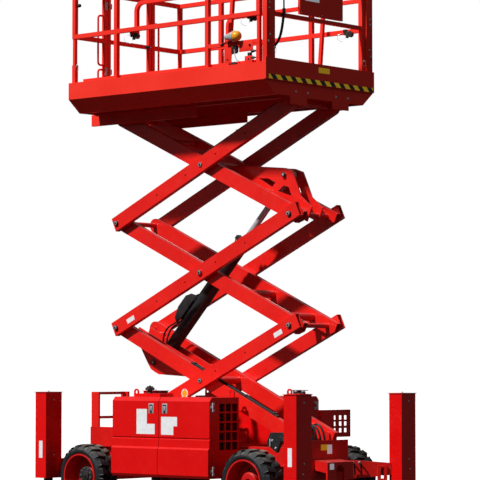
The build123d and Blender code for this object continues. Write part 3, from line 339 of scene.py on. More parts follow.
def spinInto(bm, points, centre, axis, steps, closed=False):
    made = bmesh.new()
    verts = [made.verts.new(point) for point in points]
    edges = [made.edges.new(pair) for pair in zip(verts, verts[1:])]
    if closed:
        edges.append(made.edges.new((verts[-1], verts[0])))
    bmesh.ops.spin(made, geom=verts + edges, cent=centre, axis=axis, dvec=(0, 0, 0),
                   angle=2 * math.pi, steps=steps, use_merge=True, use_duplicate=False)
    joinInto(bm, inOrder(made))


def boxInto(bm, low, high, edge=0.0, segments=2, turn=None):
    low, high = Vector(low), Vector(high)
    made = bmesh.new()
    bmesh.ops.create_cube(made, size=1.0)
    bmesh.ops.scale(made, vec=high - low, verts=made.verts)
    if edge:
        bevelEdges(made, made.edges[:], edge, segments)
    if turn is not None:
        bmesh.ops.rotate(made, cent=(0, 0, 0), matrix=turn, verts=made.verts)
    bmesh.ops.translate(made, vec=(low + high) / 2, verts=made.verts)
    joinInto(bm, made)


# the same box, given by its middle and half its size
def blockInto(bm, middle, half, edge, segments=2, turn=None):
    boxInto(bm, middle - Vector(half), middle + Vector(half), edge, segments, turn)


bite = 0.0005      # how far a fitting sinks into the face that carries it


# a thin plate on a face that looks along X
def labelInto(bm, x, across, levels, stand=0.0008):
    boxInto(bm, (x - bite, across[0], levels[0]), (x + stand, across[1], levels[1]))


def discInto(bm, foot, way, radius, length, segments=24, edge=0.0, top=None):
    foot, way = Vector(foot), Vector(way).normalized()
    place = Matrix.Translation(foot + way * length / 2) @ \
        way.to_track_quat("Z", "Y").to_matrix().to_4x4()
    made = bmesh.new()
    bmesh.ops.create_cone(made, cap_ends=True, cap_tris=False, segments=segments,
                          radius1=radius, radius2=radius if top is None else top,
                          depth=length, matrix=place)
    if edge:
        bevelEdges(made, [e for e in made.edges
                          if all((v.co - foot).dot(way) > length * 0.9 for v in e.verts)], edge)
    joinInto(bm, made)


# discs on one axis: start, radius, length, segments, edge, radius at the far end
def stackInto(bm, foot, way, *rows):
    for start, *sizes in rows:
        discInto(bm, Vector(foot) + Vector(way) * start, way, *sizes)


def boltInto(bm, foot, way, size):
    stackInto(bm, foot, Vector(way).normalized(), (0, size * 1.15, size * 0.16, 20),
              (size * 0.15, size, size * 0.62, 6, size * 0.08),
              (size * 0.7, size * 0.5, size * 0.24, 12))


def ringOf(middle, across, up, count, shift=0.0):
    turns = (2 * math.pi * (k + shift) / count for k in range(count))
    return [middle + across * math.cos(turn) + up * math.sin(turn) for turn in turns]


def tubeInto(bm, points, radius, segments=10, closed=False):
    curve = bpy.data.curves.new("spareRun", "CURVE")
    curve.dimensions = "3D"
    curve.bevel_depth = radius
    curve.bevel_resolution = max(1, segments // 4 - 1)
    curve.use_fill_caps = True
    spline = curve.splines.new("NURBS")
    spline.points.add(len(points) - 1)
    for point, at in zip(spline.points, points):
        point.co = (*at, 1)
    spline.order_u = 3
    spline.use_endpoint_u = not closed
    spline.use_cyclic_u = closed
    spline.resolution_u = 6
    run = bpy.data.objects.new("spareRun", curve)
    mesh = bpy.data.meshes.new_from_object(run)
    bm.from_mesh(mesh)
    bpy.data.objects.remove(run)
    bpy.data.curves.remove(curve)
    bpy.data.meshes.remove(mesh)


# outline points are the two other coordinates, in the order x, y, z
def plateInto(bm, outline, axis, start, thick, edge):
    made = bmesh.new()
    for point in outline:
        at = list(point)
        at.insert(axis, start)
        made.verts.new(at)
    grown = bmesh.ops.extrude_face_region(made, geom=[made.faces.new(made.verts)])["geom"]
    shift = [0.0, 0.0, 0.0]
    shift[axis] = thick
    bmesh.ops.translate(made, vec=shift, verts=vertsIn(grown))
    made = inOrder(made)
    bmesh.ops.recalc_face_normals(made, faces=made.faces)
    bevelEdges(made, made.edges[:], edge)
    joinInto(bm, made)


tyre = {"radius": 0.328, "half": 0.150, "bead": 0.2205, "groove": 0.024, "lugs": 19,
        "segments": 88, "sunk": 0.004, "reach": 0.975, "taper": 0.90, "shoulder": 0.046,
        "crownDrop": 0.006, "sideDeep": 0.030, "edge": 0.004}
# how far out from the bead, and how far in from the side
sidewall = ((0.0, 0.030), (0.008, 0.018), (0.020, 0.009), (0.036, 0.004), (0.050, 0.007),
            (0.062, 0.018))
# the same from the bottom of the grooves
crown = ((-0.008, 0.040), (-0.001, 0.062), (0.0, 0.090))
lugOutline = ((-0.040, 1.0), (0.032, 1.0), (0.034, 0.70), (0.012, 0.40), (-0.008, -0.10),
              (-0.058, -0.10), (-0.052, 0.34), (-0.034, 0.70))


def tyreCarcass(bm):
    base, half = tyre["radius"] - tyre["groove"], tyre["half"]
    side = [(tyre["bead"] + rise, half - inward) for rise, inward in sidewall]
    side += [(base + rise, half - inward) for rise, inward in crown]
    profile = side + [(radius, -y) for radius, y in reversed(side)]
    spinInto(bm, [(radius, y, 0) for radius, y in profile], (0, 0, 0), yWay,
             tyre["segments"], closed=True)
    bmesh.ops.recalc_face_normals(bm, faces=bm.faces)


# a lug is drawn flat, with its height from 0 to 1, and then wrapped round the carcass
def treadLug(bm, turn, way):
    r, h = tyre["radius"], tyre["half"]
    base = r - tyre["groove"] - tyre["sunk"]
    made = bmesh.new()
    foot = [made.verts.new((s, share * h * tyre["reach"], 0)) for s, share in lugOutline]
    top = bmesh.ops.extrude_face_region(made, geom=[made.faces.new(foot)])
    for v in vertsIn(top["geom"]):
        v.co.z = 1.0
        v.co.x = v.co.x * tyre["taper"] - 0.001
        if abs(v.co.y) > 0.9 * h:
            v.co.y -= tyre["shoulder"]
        elif v.co.y < 0:
            v.co.y += 0.005
    bevelEdges(made, [e for e in made.edges if all(v.co.z > 0.5 for v in e.verts)],
               tyre["edge"], 1)
    for v in made.verts:
        s, y, rise = v.co
        depth = base if abs(y) < 0.93 * h or rise > 0.5 else base - tyre["sideDeep"]
        drop = tyre["crownDrop"] if abs(y) > 0.6 * h else 0.0
        radius = depth + (r - base - drop) * rise
        angle = s / r + turn
        v.co = (radius * math.cos(angle), way * y, radius * math.sin(angle))
    bmesh.ops.recalc_face_normals(made, faces=made.faces)
    joinInto(bm, made)


def makeTyre(end, side):
    bm = bmesh.new()
    tyreCarcass(bm)
    step = 2 * math.pi / tyre["lugs"]
    for i in range(tyre["lugs"]):
        treadLug(bm, i * step, 1)
        treadLug(bm, (i + 0.5) * step, -1)
    node = "%s_%s_tyre" % (end, side)
    low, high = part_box(node)
    bmesh.ops.translate(bm, verts=bm.verts, vec=(low + high) / 2)
    made = addPieces("%s_%s_wheel" % (end, side), (end + side.capitalize() + "Tyre", bm, "rubber"))
    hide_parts(node)


rimFit = {"front": {"bolts": 8, "ring": 0.135, "boltSize": 0.013, "face": -0.008},
          "rear": {"bolts": 9, "ring": 0.072, "boltSize": 0.011, "face": 0.044}}
rimLip = {"ring": 0.2225, "aside": 0.128, "wire": 0.005}
valve = {"x": 0.19, "out": 0.02, "z": 0.05, "radius": 0.006, "length": 0.05}
hubCover = ((-0.009, 0.1025, 0.030, 48, 0.004), (0.019, 0.094, 0.026, 48, 0.008),
            (0.044, 0.052, 0.016, 36, 0.006), (0.059, 0.020, 0.010, 24, 0.003))


def makeHubParts(end, side, out):
    fit = rimFit[end]
    title, body = end + side.capitalize(), "%s_%s_wheel" % (end, side)
    low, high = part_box("%s_%s_rim" % (end, side))
    centre = (low + high) / 2
    way = yWay * out
    if end == "rear":
        cover = bmesh.new()
        stackInto(cover, centre, way, *hubCover)
        addPieces(body, (title + "HubCover", cover, "plastic"))
    bolts, lip = fresh(2)
    for spot in ringOf(centre + way * fit["face"], xWay * fit["ring"], zWay * fit["ring"],
                       fit["bolts"], 0.5):
        boltInto(bolts, spot, way, fit["boltSize"])
    for aside in (rimLip["aside"], -rimLip["aside"]):
        tubeInto(lip, ringOf(centre + way * aside, xWay * rimLip["ring"],
                             zWay * rimLip["ring"], 40), rimLip["wire"], 8, closed=True)
    foot = centre + Vector((valve["x"], out * valve["out"], valve["z"]))
    discInto(lip, foot, way, valve["radius"], valve["length"], 10, 0.001)
    addPieces(body, (title + "WheelBolts", bolts, "steel"), (title + "RimLip", lip, "rimRed"))


for end, way in ends:
    for side, out in sides:
        makeTyre(end, side)
print("tyres made")
for end, way in ends:
    for side, out in sides:
        makeHubParts(end, side, out)
print("wheel fittings made")

stack = {"frontX": pins["lift"].x, "rearX": pins["fold_2"].x, "baseZ": pins["lift"].z,
         "rise": pins["fold_2"].z - pins["lift"].z, "face": 0.360, "shaft": 0.378,
         "centreShaft": 0.364, "holeShadeSpots": (0.65, 1.10, 1.57, 2.015), "holeShadeRadius": 0.0085}
stack["run"] = math.hypot(stack["frontX"] - stack["rearX"], stack["rise"])
stack["tilt"] = math.atan2(stack["rise"], stack["frontX"] - stack["rearX"])
pinHead = {"cap": (-0.016, 0.0262, 0.019, 28, 0.002),
           "ring": (0.0025, 0.0195, 0.0035, 28, 0.001),
           "button": (0.0055, 0.0125, 0.0025, 20, 0.0008)}
# which stage carries the label, along the arm, off its middle line
armLabels = {"half": (0.0575, 0.0007, 0.025), "at": ((2, 0.227, -0.012), (1, 2.495, -0.012))}


def armPoint(stage, kind, along, off, y=0.0):
    ca, sa = math.cos(stack["tilt"]), math.sin(stack["tilt"])
    z = stack["baseZ"] + (stage - 1) * stack["rise"] + along * sa + off * ca
    if kind == "outer":
        return Vector((stack["rearX"] + along * ca - off * sa, y, z))
    return Vector((stack["frontX"] - along * ca + off * sa, y, z))


def makePinHeads(stage, title, kind, places):
    black, bright = fresh(2)
    for side, out in sides:
        for along, reach in places:
            foot = armPoint(stage, kind, along, 0, out * reach)
            stackInto(black, foot, yWay * out, pinHead["cap"], pinHead["button"])
            stackInto(bright, foot, yWay * out, pinHead["ring"])
    addPieces("%s_%d" % (kind, stage), ("%sPinCaps%d" % (title, stage), black, "black"),
              ("%sPinRings%d" % (title, stage), bright, "zinc"))


# dark discs on the arm faces are painted shade standing in for the insides of the holes
def makeArmHoleShades(stage):
    holes = bmesh.new()
    for side, out in sides:
        for along in stack["holeShadeSpots"]:
            foot = armPoint(stage, "outer", along, 0.0, out * (stack["face"] - bite))
            discInto(holes, foot, (0, out, 0), stack["holeShadeRadius"], 0.0011, 16)
    addPieces("outer_%d" % stage, ("armHoleShades%d" % stage, holes, "cavity"))


def makeArmLabel(stage, along, off):
    bm = bmesh.new()
    for side, out in sides:
        middle = armPoint(stage, "outer", along, off, out * (stack["face"] + 0.0005))
        blockInto(bm, middle, armLabels["half"], 0.0005, 1,
                  Matrix.Rotation(-stack["tilt"], 3, "Y"))
    addPieces("outer_%d" % stage, ("armLabel%d" % stage, bm, "white"))


for stage in (1, 2, 3):
    spots = [(along, stack["shaft"]) for along in (0.0, stack["run"])]
    spots = {1: spots[1:], 2: spots, 3: spots[:1]}[stage]       # the end pins are CAD nodes
    makePinHeads(stage, "outer", "outer", spots)
    reach = stack["shaft"] if stage == 2 else stack["centreShaft"]
    makePinHeads(stage, "centre", "inner", [(stack["run"] / 2, reach)])
for stage in (1, 2, 3):
    makeArmHoleShades(stage)
for row in armLabels["at"]:
    makeArmLabel(*row)
print("scissor arms trimmed")

doorTrim = {"panelIn": 0.020, "latchSize": (0.070, 0.102), "latchTop": 0.115,
            "latchAside": {"front": 0.0805, "rear": 0.103}, "recess": (0.66, 0.52),
            "paddle": (0.50, 0.42), "keyDown": 0.33, "hingeLevels": (0.076, -0.097),
            "knuckle": 0.0083, "third": 0.015, "leaf": 0.033, "leafBack": 0.008,
            "leafThick": 0.0038, "screw": 0.0055, "gap": 0.0006}
# corners as (away from the gap between the doors, down from the top of the door)
doorDecals = {"rear": ((0.053, 0.122), (0.310, 0.377), 0.59, 0.57),
              "front": ((0.031, 0.198), (0.253, 0.380), 0.52, 0.23)}


def makeDoorTrim(end, way, side, out):
    name, title = "%s_%s_door" % (end, side), end + side.capitalize()
    low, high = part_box(name)
    face = (low.y if out < 0 else high.y) - out * doorTrim["panelIn"]
    gap = low.x if way > 0 else high.x
    zinc, dark, white = fresh(3)

    def onFace(bm, away, down, size, thick, lift=0.0, edge=0.002):
        x, z = gap + way * away, high.z - down
        y0, y1 = sorted((face + out * lift, face + out * (lift + thick)))
        boxInto(bm, (x - size[0] / 2, y0, z - size[1] / 2),
                (x + size[0] / 2, y1, z + size[1] / 2), edge)

    aside, down = doorTrim["latchAside"][end], doorTrim["latchTop"]
    wide, tall = doorTrim["latchSize"]
    recess, paddle = ((wide * doorTrim[key][0], tall * doorTrim[key][1])
                      for key in ("recess", "paddle"))
    onFace(zinc, aside, down, (wide, tall), 0.004, -0.001)
    onFace(dark, aside, down - 0.012, recess, 0.0015, 0.003)
    onFace(zinc, aside, down - 0.002, paddle, 0.004, 0.004)
    spot = (gap + way * aside, face + out * 0.002, high.z - down - tall * doorTrim["keyDown"])
    discInto(dark, spot, (0, out, 0), 0.013, 0.006, 20, 0.001)
    (near, top), (far, foot), split, step = doorDecals[end]
    middle = top + (foot - top) * split
    cut = (far - near) * step
    if end == "front":
        rows = ((near, far, top, middle), (near, far - cut, middle, foot))
    else:
        rows = ((far - cut, far, top, middle), (near, far, middle, foot))
    for a, b, c, d in rows:
        onFace(white, (a + b) / 2, (c + d) / 2, (b - a, d - c), 0.0008, 0.0, 0.0)
    addPieces(name, (title + "DoorLatch", zinc, "zinc", "red_paint"),
              (title + "LatchRecess", dark, "plastic"), (title + "DoorDecal", white, "white"))


def makeHingeTrim(end, way, side, out):
    door, title = "%s_%s_door" % (end, side), end + side.capitalize()
    low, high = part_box(door)
    pin = pins[door + "_swing"]
    third, leaf, gap = doorTrim["third"], doorTrim["leaf"], doorTrim["gap"]
    faceX = pin.x - way * doorTrim["leafBack"]
    xs = sorted((faceX, faceX + way * doorTrim["leafThick"]))
    onDoor, onShell = fresh(2)
    spans = ((onDoor, out, -third + gap, third - gap), (onShell, -out, third + gap, 3 * third),
             (onShell, -out, -3 * third, -third - gap))
    for level in doorTrim["hingeLevels"]:
        z = (low.z if level > 0 else high.z) + level
        for bm, aside, z0, z1 in spans:
            discInto(bm, (pin.x, pin.y, z + z0), zWay, doorTrim["knuckle"], z1 - z0, 20, 0.0006)
            ys = sorted((pin.y + aside * 0.0012, pin.y + aside * leaf))
            boxInto(bm, (xs[0], ys[0], z + z0), (xs[1], ys[1], z + z1), 0.0006, 1)
            spot = (faceX + way * 0.0036, pin.y + aside * leaf * 0.66, z + (z0 + z1) / 2)
            boltInto(bm, spot, (way, 0, 0), doorTrim["screw"])
    addPieces(door, (title + "DoorHinges", onDoor, "zinc", "red_paint"))
    addPieces(side + "_housing", (title + "HousingHinges", onShell, "zinc", "red_paint"))


grille = {"columns": (0.014, 0.300), "rows": (0.278, 0.752), "pitch": 0.0115, "wire": 0.0009,
          "behind": 0.037}


def spread(start, stop):
    steps = int((stop - start) / grille["pitch"])
    return [start + (stop - start) * k / steps for k in range(steps + 1)]


def makeGrille(side, out):
    low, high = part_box(side + "_housing")
    inner = high.y if out < 0 else low.y
    wires = bmesh.new()
    x, thick = high.x - grille["behind"], grille["wire"]
    y0, y1 = sorted(inner + out * column for column in grille["columns"])
    z0, z1 = (low.z + row for row in grille["rows"])
    for y in spread(y0, y1):
        boxInto(wires, (x - thick, y - thick, z0), (x + thick, y + thick, z1))
    for z in spread(z0, z1):
        boxInto(wires, (x - 3 * thick, y0, z - thick), (x - thick, y1, z + thick))
    addPieces(side + "_housing", (side + "GrilleMesh", wires, "black"))


fillerCap = {"place": (0.290, 0.168), "rise": 0.033, "lobes": 6, "lobeRing": 0.03956,
             "lobe": (0.034, 0.010, 0.026, 14, 0.004), "handleRise": 0.067,
             "handle": (0.040, 0.008, 0.007)}
capDiscs = ((0, 0.036, 0.012, 28, 0.003), (0.011, 0.026, 0.022, 24),
            (0.032, 0.04278, 0.030, 32, 0.008), (0.072, 0.011, 0.010, 18, 0.003))


def makeFillerCap():
    low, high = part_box("near_housing")
    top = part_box("front_near_door")[1].z + fillerCap["rise"]
    foot = Vector((low.x + fillerCap["place"][0], high.y - fillerCap["place"][1], top))
    bm = bmesh.new()
    stackInto(bm, foot, zWay, *capDiscs)
    for lobe in ringOf(foot, xWay * fillerCap["lobeRing"], yWay * fillerCap["lobeRing"],
                       fillerCap["lobes"]):
        stackInto(bm, lobe, zWay, fillerCap["lobe"])
    blockInto(bm, foot + zWay * fillerCap["handleRise"], fillerCap["handle"], 0.003)
    addPieces("near_housing", ("fillerCap", bm, "plastic"))


farCowl = {"place": (-0.2515, -0.1035), "y": 0.308, "rise": 0.023, "stackIn": 0.042,
           "stack": (0, 0.036, 0.034, 28, 0.003), "strap": (0.012, 0.0368, 0.006, 28),
           "lidOver": (0.012, 0.052), "lidLevels": (0.034, 0.041)}


def makeFarCowl():
    low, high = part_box("far_housing")
    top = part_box("front_far_door")[1].z + farCowl["rise"]
    x0, x1 = (high.x + place for place in farCowl["place"])
    y = low.y + farCowl["y"]
    dark, red, bright = fresh(3)
    for x in (x0 + farCowl["stackIn"], x1 - farCowl["stackIn"]):
        stackInto(dark, (x, y, top), zWay, farCowl["stack"])
        stackInto(bright, (x, y, top), zWay, farCowl["strap"])
    (overX, overY), (z0, z1) = farCowl["lidOver"], farCowl["lidLevels"]
    boxInto(red, (x0 - overX, y - overY, top + z0), (x1 + overX, y + overY, top + z1), 0.002)
    addPieces("far_housing", ("exhaustStacks", dark, "black"), ("exhaustBands", bright, "zinc"),
              ("exhaustCowl", red, "panelRed"))


for side, out in sides:
    makeGrille(side, out)
    for end, way in ends:
        makeDoorTrim(end, way, side, out)
        makeHingeTrim(end, way, side, out)
makeFillerCap()
makeFarCowl()
print("housings trimmed")

engineFit = {"span": (0.200, 0.800), "deep": 0.310, "cylinders": 4, "firstCylinder": 0.11,
             "cylinderPitch": 0.115, "fins": 14, "firstFin": 0.035, "finPitch": 0.040,
             "rib": 0.006, "finLevels": (0.49, 0.36), "filter": (0.06, -0.10, 0.112),
             "breather": (-0.06, -0.055, -0.01)}
# the hoses' points, from the engine's left end, back and top
intakeHose = ((0.31, -0.10, 0.112), (0.40, -0.10, 0.112), (0.45, -0.12, 0.09),
              (0.46, -0.14, 0.04))
drainHose = ((0.57, -0.02, -0.12), (0.65, -0.03, -0.14), (0.72, -0.06, -0.05),
             (0.80, -0.10, -0.02))


def makeEngine():
    low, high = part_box("service_blocks")
    x0, x1 = (low.x + place for place in engineFit["span"])
    y0, y1, top = high.y - engineFit["deep"], high.y, high.z
    cast, dark, bright, hoses = fresh(4)
    boxInto(cast, (x0 + 0.05, y0 + 0.05, top - 0.002), (x1 - 0.09, y1 - 0.08, top + 0.052),
            0.014, 3)
    for k in range(engineFit["cylinders"]):
        x = x0 + engineFit["firstCylinder"] + k * engineFit["cylinderPitch"]
        discInto(dark, (x, (y0 + y1) / 2 - 0.01, top + 0.050), zWay, 0.020, 0.014, 20, 0.004)
        discInto(bright, (x, y1 - 0.004, top - 0.10), yWay, 0.017, 0.016, 18, 0.003)
        discInto(bright, (x, y1 - 0.004, top - 0.30), yWay, 0.010, 0.010, 6)
    z0, z1 = (top - down for down in engineFit["finLevels"])
    for k in range(engineFit["fins"]):
        x = x0 + engineFit["firstFin"] + k * engineFit["finPitch"]
        boxInto(cast, (x, y1 - 0.002, z0), (x + engineFit["rib"], y1 + 0.012, z1), 0.0015, 1)
    filterEnd = Vector((x0, y1, top)) + Vector(engineFit["filter"])
    stackInto(dark, filterEnd, xWay, (0, 0.058, 0.24, 36, 0.010))
    stackInto(bright, filterEnd, xWay, (0.24, 0.050, 0.012, 32, 0.003))
    breather = Vector((x1, y1, top)) + Vector(engineFit["breather"])
    discInto(bright, breather, zWay, 0.022, 0.10, 24, 0.002)
    for route, radius, segments in ((intakeHose, 0.022, 14), (drainHose, 0.014, 12)):
        tubeInto(hoses, [(x0 + x, y1 + y, top + z) for x, y, z in route], radius, segments)
    addPieces("service_blocks", ("engineHead", cast, "engine"),
              ("engineFilters", dark, "plastic"), ("enginePlugs", bright, "zinc", "black_paint"),
              ("engineHoses", hoses, "hose", "black_paint"))


tank = {"length": 0.400, "straps": (0.08, 0.28), "strap": 0.034, "deep": 0.334, "stand": 0.004,
        "gauge": ((-0.055, -0.010, -0.36), (-0.030, -0.001, -0.10))}
battery = {"after": 0.455, "size": (0.26, 0.18, 0.20), "lid": (0.165, 0.195), "over": 0.003,
           "posts": (0.04, 0.22)}


def makeTankTrim():
    low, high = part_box("service_blocks")
    y, top = low.y - tank["stand"], high.z + tank["stand"]
    straps, bright, case, posts = fresh(4)
    for x in (low.x + place for place in tank["straps"]):
        boxInto(straps, (x, y, low.z), (x + tank["strap"], low.y + tank["deep"], top), 0.001, 1)
        boltInto(bright, (x + tank["strap"] / 2, y, low.z + 0.06), -yWay, 0.008)
    corner = Vector((low.x + tank["length"], low.y, high.z))
    boxInto(bright, *(corner + Vector(end) for end in tank["gauge"]), 0.003)
    foot = Vector((low.x + battery["after"], low.y + 0.01, low.z))
    boxInto(case, foot, foot + Vector(battery["size"]), 0.006)
    over = Vector((battery["over"], battery["over"], 0))
    wide, deep = battery["size"][:2]
    boxInto(case, foot - over + zWay * battery["lid"][0],
            foot + over + Vector((wide, deep, battery["lid"][1])), 0.004)
    for x in battery["posts"]:
        discInto(posts, foot + Vector((x, 0.04, 0.199)), zWay, 0.010, 0.018, 16, 0.002)
    addPieces("service_blocks", ("tankStraps", straps, "zinc", "black_paint"),
              ("tankGauge", bright, "lightGrey", "black_paint"), ("battery", case, "plastic"),
              ("batteryPosts", posts, "zinc", "black_paint"))


makeEngine()
makeTankTrim()
print("engine and tank trimmed")

# the caps of the legs stand out by "over", so the legs' own faces lie that far inside
legTrim = {"over": 0.008, "leg": 0.160, "wide": 0.230, "label": (0.053, 0.180),
           "labelDown": 0.607, "labelIn": 0.083, "boltLevels": (0.083, 0.670),
           "boltSize": 0.008, "lowBolt": 0.77, "lowBoltAside": 0.42, "lowBoltSize": 0.009,
           "stud": (0, 0.0075, 0.014, 16, 0.002)}
legUnion = {"aside": 0.62, "half": 0.062, "thick": 0.006, "shift": 0.032, "lean": 0.6,
            "body": (0, 0.024, 0.022, 24, 0.002), "nut": (0.021, 0.017, 0.012, 6, 0.001)}


def makeLegTrim():
    low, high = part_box("outrigger_legs")
    labels, bolts, caps, fittings, unions = fresh(5)
    over, leg, wide = legTrim["over"], legTrim["leg"], legTrim["wide"]
    w, t = (size / 2 for size in legTrim["label"])
    for end, way in ends:
        for side, out in sides:
            outer = high.x - over if way > 0 else low.x + over
            face = low.y + over if out < 0 else high.y - over
            x, z = outer - way * legTrim["labelIn"], high.z - legTrim["labelDown"]
            y0, y1 = sorted((face, face + out * 0.0008))
            boxInto(labels, (x - w, y0, z - t), (x + w, y1, z + t))
            for down in legTrim["boltLevels"]:
                for turn, flat in ((1, outer), (-1, outer - way * leg)):
                    boltInto(bolts, (flat, face - out * wide / 2, high.z - down),
                             (way * turn, 0, 0), legTrim["boltSize"])
            y, z = face - out * wide * legTrim["lowBoltAside"], high.z - legTrim["lowBolt"]
            boltInto(bolts, (outer, y, z), (way, 0, 0), legTrim["lowBoltSize"])
            stackInto(fittings, (outer - way * leg / 2, face - out * wide / 2, high.z - 0.001),
                      zWay, legTrim["stud"])
    # the near front leg carries the pipe union
    middle = Vector((high.x - over - leg / 2, low.y + over + wide * legUnion["aside"],
                     high.z - 0.001))
    half, thick = legUnion["half"], legUnion["thick"]
    boxInto(caps, middle - Vector((half, half, 0)), middle + Vector((half, half, thick)), 0.001)
    for shift in (-legUnion["shift"], legUnion["shift"]):
        foot = middle + Vector((shift * legUnion["lean"], shift, thick - 0.001))
        stackInto(unions, foot, zWay, legUnion["body"])
        stackInto(fittings, foot, zWay, legUnion["nut"])
    addPieces("outrigger_legs", ("legLabels", labels, "white"), ("legBolts", bolts, "zinc"),
              ("legUnionPlate", caps, "panelRed"), ("legUnions", unions, "plastic"),
              ("legStuds", fittings, "zinc"))


frontLabels = {"yellow": ((-0.072, 0.025), (0.631, 0.689)),
               "white": ((0.027, 0.103), (0.594, 0.686)),
               "hitch": ((-0.164, -0.098), (0.447, 0.506)), "nose": 0.191}


def makeFrontLabels():
    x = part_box("main_frame")[1].x
    yellow, white = fresh(2)
    labelInto(yellow, x, *frontLabels["yellow"])
    labelInto(white, x, *frontLabels["white"])
    labelInto(white, x + frontLabels["nose"], *frontLabels["hitch"])
    # the yellow label glows and the white labels get a bluish tint and glow, all painted light that keeps them
    # bright on this shaded face
    addPieces("main_frame", ("frontYellowLabel", yellow, "hazard", "frame_paint"),
              ("frontWhiteLabels", white, "paintedLitLabel", "frame_paint"))


frontHoses = {"radius": 0.011, "rows": (-0.145, -0.085, -0.025, 0.040), "lift": 0.010,
              "nut": 0.0135, "nutLength": 0.05}
# from the lift pin, and whether the point rises on every second hose
frontHoseRun = ((-0.055, -0.010, -0.030, 0), (-0.045, -0.010, 0.065, 1), (0.010, 0, 0.125, 1),
                (0.080, 0.005, 0.085, 1), (0.122, 0.010, -0.020, 0), (0.128, 0.010, -0.200, 0))


def makeFrontHoses():
    pivot = pins["lift"]
    hoses, nuts = fresh(2)
    for k, row in enumerate(frontHoses["rows"]):
        lift = frontHoses["lift"] * (k % 2)
        points = [(pivot.x + x, row + y, pivot.z + z + lift * rises)
                  for x, y, z, rises in frontHoseRun]
        tubeInto(hoses, points, frontHoses["radius"], 12)
        for foot in (points[0], points[-1]):
            discInto(nuts, foot, -zWay, frontHoses["nut"], frontHoses["nutLength"], 6, 0.001)
    addPieces("main_frame", ("frontHoses", hoses, "hose"), ("frontHoseEnds", nuts, "zinc"))


# the ports sit on the arms out to the legs, which run from root to tip
armPorts = {"root": (1.422, 0.330), "tip": (1.690, 0.710), "along": (0.050, 0.120),
            "rise": 0.500, "hose": 0.009, "hoseFrom": 0.030,
            "nut": (0, 0.013, 0.012, 6, 0.001), "neck": (0.010, 0.0105, 0.020, 18, 0.002)}
# each point of a port's hose: out of the port, along the arm, down
portHose = ((0, 0, 0), (0.018, 0, 0), (0.020, 0, 0.03), (-0.004, 0.016, 0.075),
            (-0.014, 0.020, 0.125))


def makeArmPorts():
    bright, hoses = fresh(2)
    for side, turn in sides:
        root, tip = (Vector((x, y * turn, armPorts["rise"]))
                     for x, y in (armPorts["root"], armPorts["tip"]))
        run = (tip - root).normalized()
        way = Vector((run.y * turn, -run.x * turn, 0))
        for along in armPorts["along"]:
            foot = root + run * along
            stackInto(bright, foot, way, armPorts["nut"], armPorts["neck"])
            foot += way * armPorts["hoseFrom"]
            tubeInto(hoses, [foot + way * u + run * v - zWay * down for u, v, down in portHose],
                     armPorts["hose"], 12)
    addPieces("outrigger_beams", ("armPorts", bright, "zinc"), ("armPortHoses", hoses, "hose"))


guardBolts = {"at": ((0.079, 0.118), (0.125, 0.045)), "y": 0.060, "size": 0.010,
              "rod": (0, 0.006, 0.075, 14, 0.001), "rodAt": (0.060, 0.050, 0.060)}


def makeGuardBolts():
    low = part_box("wheel_guard")[0]
    bm = bmesh.new()
    for x, z in guardBolts["at"]:
        boltInto(bm, low + Vector((x, guardBolts["y"], z)), -yWay, guardBolts["size"])
    stackInto(bm, low + Vector(guardBolts["rodAt"]), zWay, guardBolts["rod"])
    addPieces("wheel_guard", ("guardBolts", bm, "zinc"))


makeLegTrim()
makeFrontLabels()
makeFrontHoses()
makeArmPorts()
makeGuardBolts()
print("legs and frame trimmed")

armRun = {"radius": 0.009, "top": 0.0755, "clamps": (0.36, 0.78, 1.20, 1.56), "over": 0.004,
          "clampHalf": (0.016, 0.0135), "clampRise": 0.0105, "boltRise": 0.0215,
          "boltSize": 0.0035}


def makeArmClamps():
    bands, bright = fresh(2)
    low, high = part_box("arm_hoses")
    y0, y1 = low.y - armRun["over"], high.y + armRun["over"]
    half = (armRun["clampHalf"][0], (y1 - y0) / 2, armRun["clampHalf"][1])
    turn = Matrix.Rotation(stack["tilt"], 3, "Y")
    for along in armRun["clamps"]:
        middle = armPoint(1, "inner", along, armRun["top"] + armRun["clampRise"], (y0 + y1) / 2)
        blockInto(bands, middle, half, 0.003, turn=turn)
        for y in (low.y, high.y):
            foot = armPoint(1, "inner", along, armRun["top"] + armRun["boltRise"], y)
            boltInto(bright, foot, turn @ zWay, armRun["boltSize"])
    addPieces("arm_hoses", ("hoseClamps", bands, "plastic", "hose_rubber"),
              ("hoseClampBolts", bright, "zinc"))


# the run as (along the arm, up from its usual height, inwards)
upperCable = {"y": -0.338, "clamps": (1.50, 1.92, 2.34), "clampHalf": (0.012, 0.0135, 0.0105),
              "run": ((1.372, -0.010, 0.030), (1.395, 0, 0.012), (1.44, 0, 0), (1.70, 0, 0),
                      (2.10, 0, 0), (2.40, 0, 0), (2.50, 0.004, 0), (2.555, -0.014, 0))}


def makeUpperCable():
    y, top = upperCable["y"], armRun["top"] + armRun["radius"]
    hose, bands, bright = fresh(3)
    tubeInto(hose, [armPoint(3, "outer", along, top + rise, y + inward)
                    for along, rise, inward in upperCable["run"]], armRun["radius"], 12)
    turn = Matrix.Rotation(-stack["tilt"], 3, "Y")
    for along in upperCable["clamps"]:
        blockInto(bands, armPoint(3, "outer", along, top, y), upperCable["clampHalf"], 0.003,
                  turn=turn)
    discInto(bright, armPoint(3, "outer", 2.55, top - 0.012, y), turn @ xWay, 0.012, 0.03, 6,
             0.001)
    addPieces("outer_3", ("upperCable", hose, "hose"),
              ("upperCableClamps", bands, "plastic", "hose_rubber"),
              ("upperCableEnd", bright, "zinc"))


slideWay = Vector(next(j for j in frame["joints"] if j["name"] == "rod_slide")["axis"])
slideUp = Vector((-slideWay.z, 0, slideWay.x))
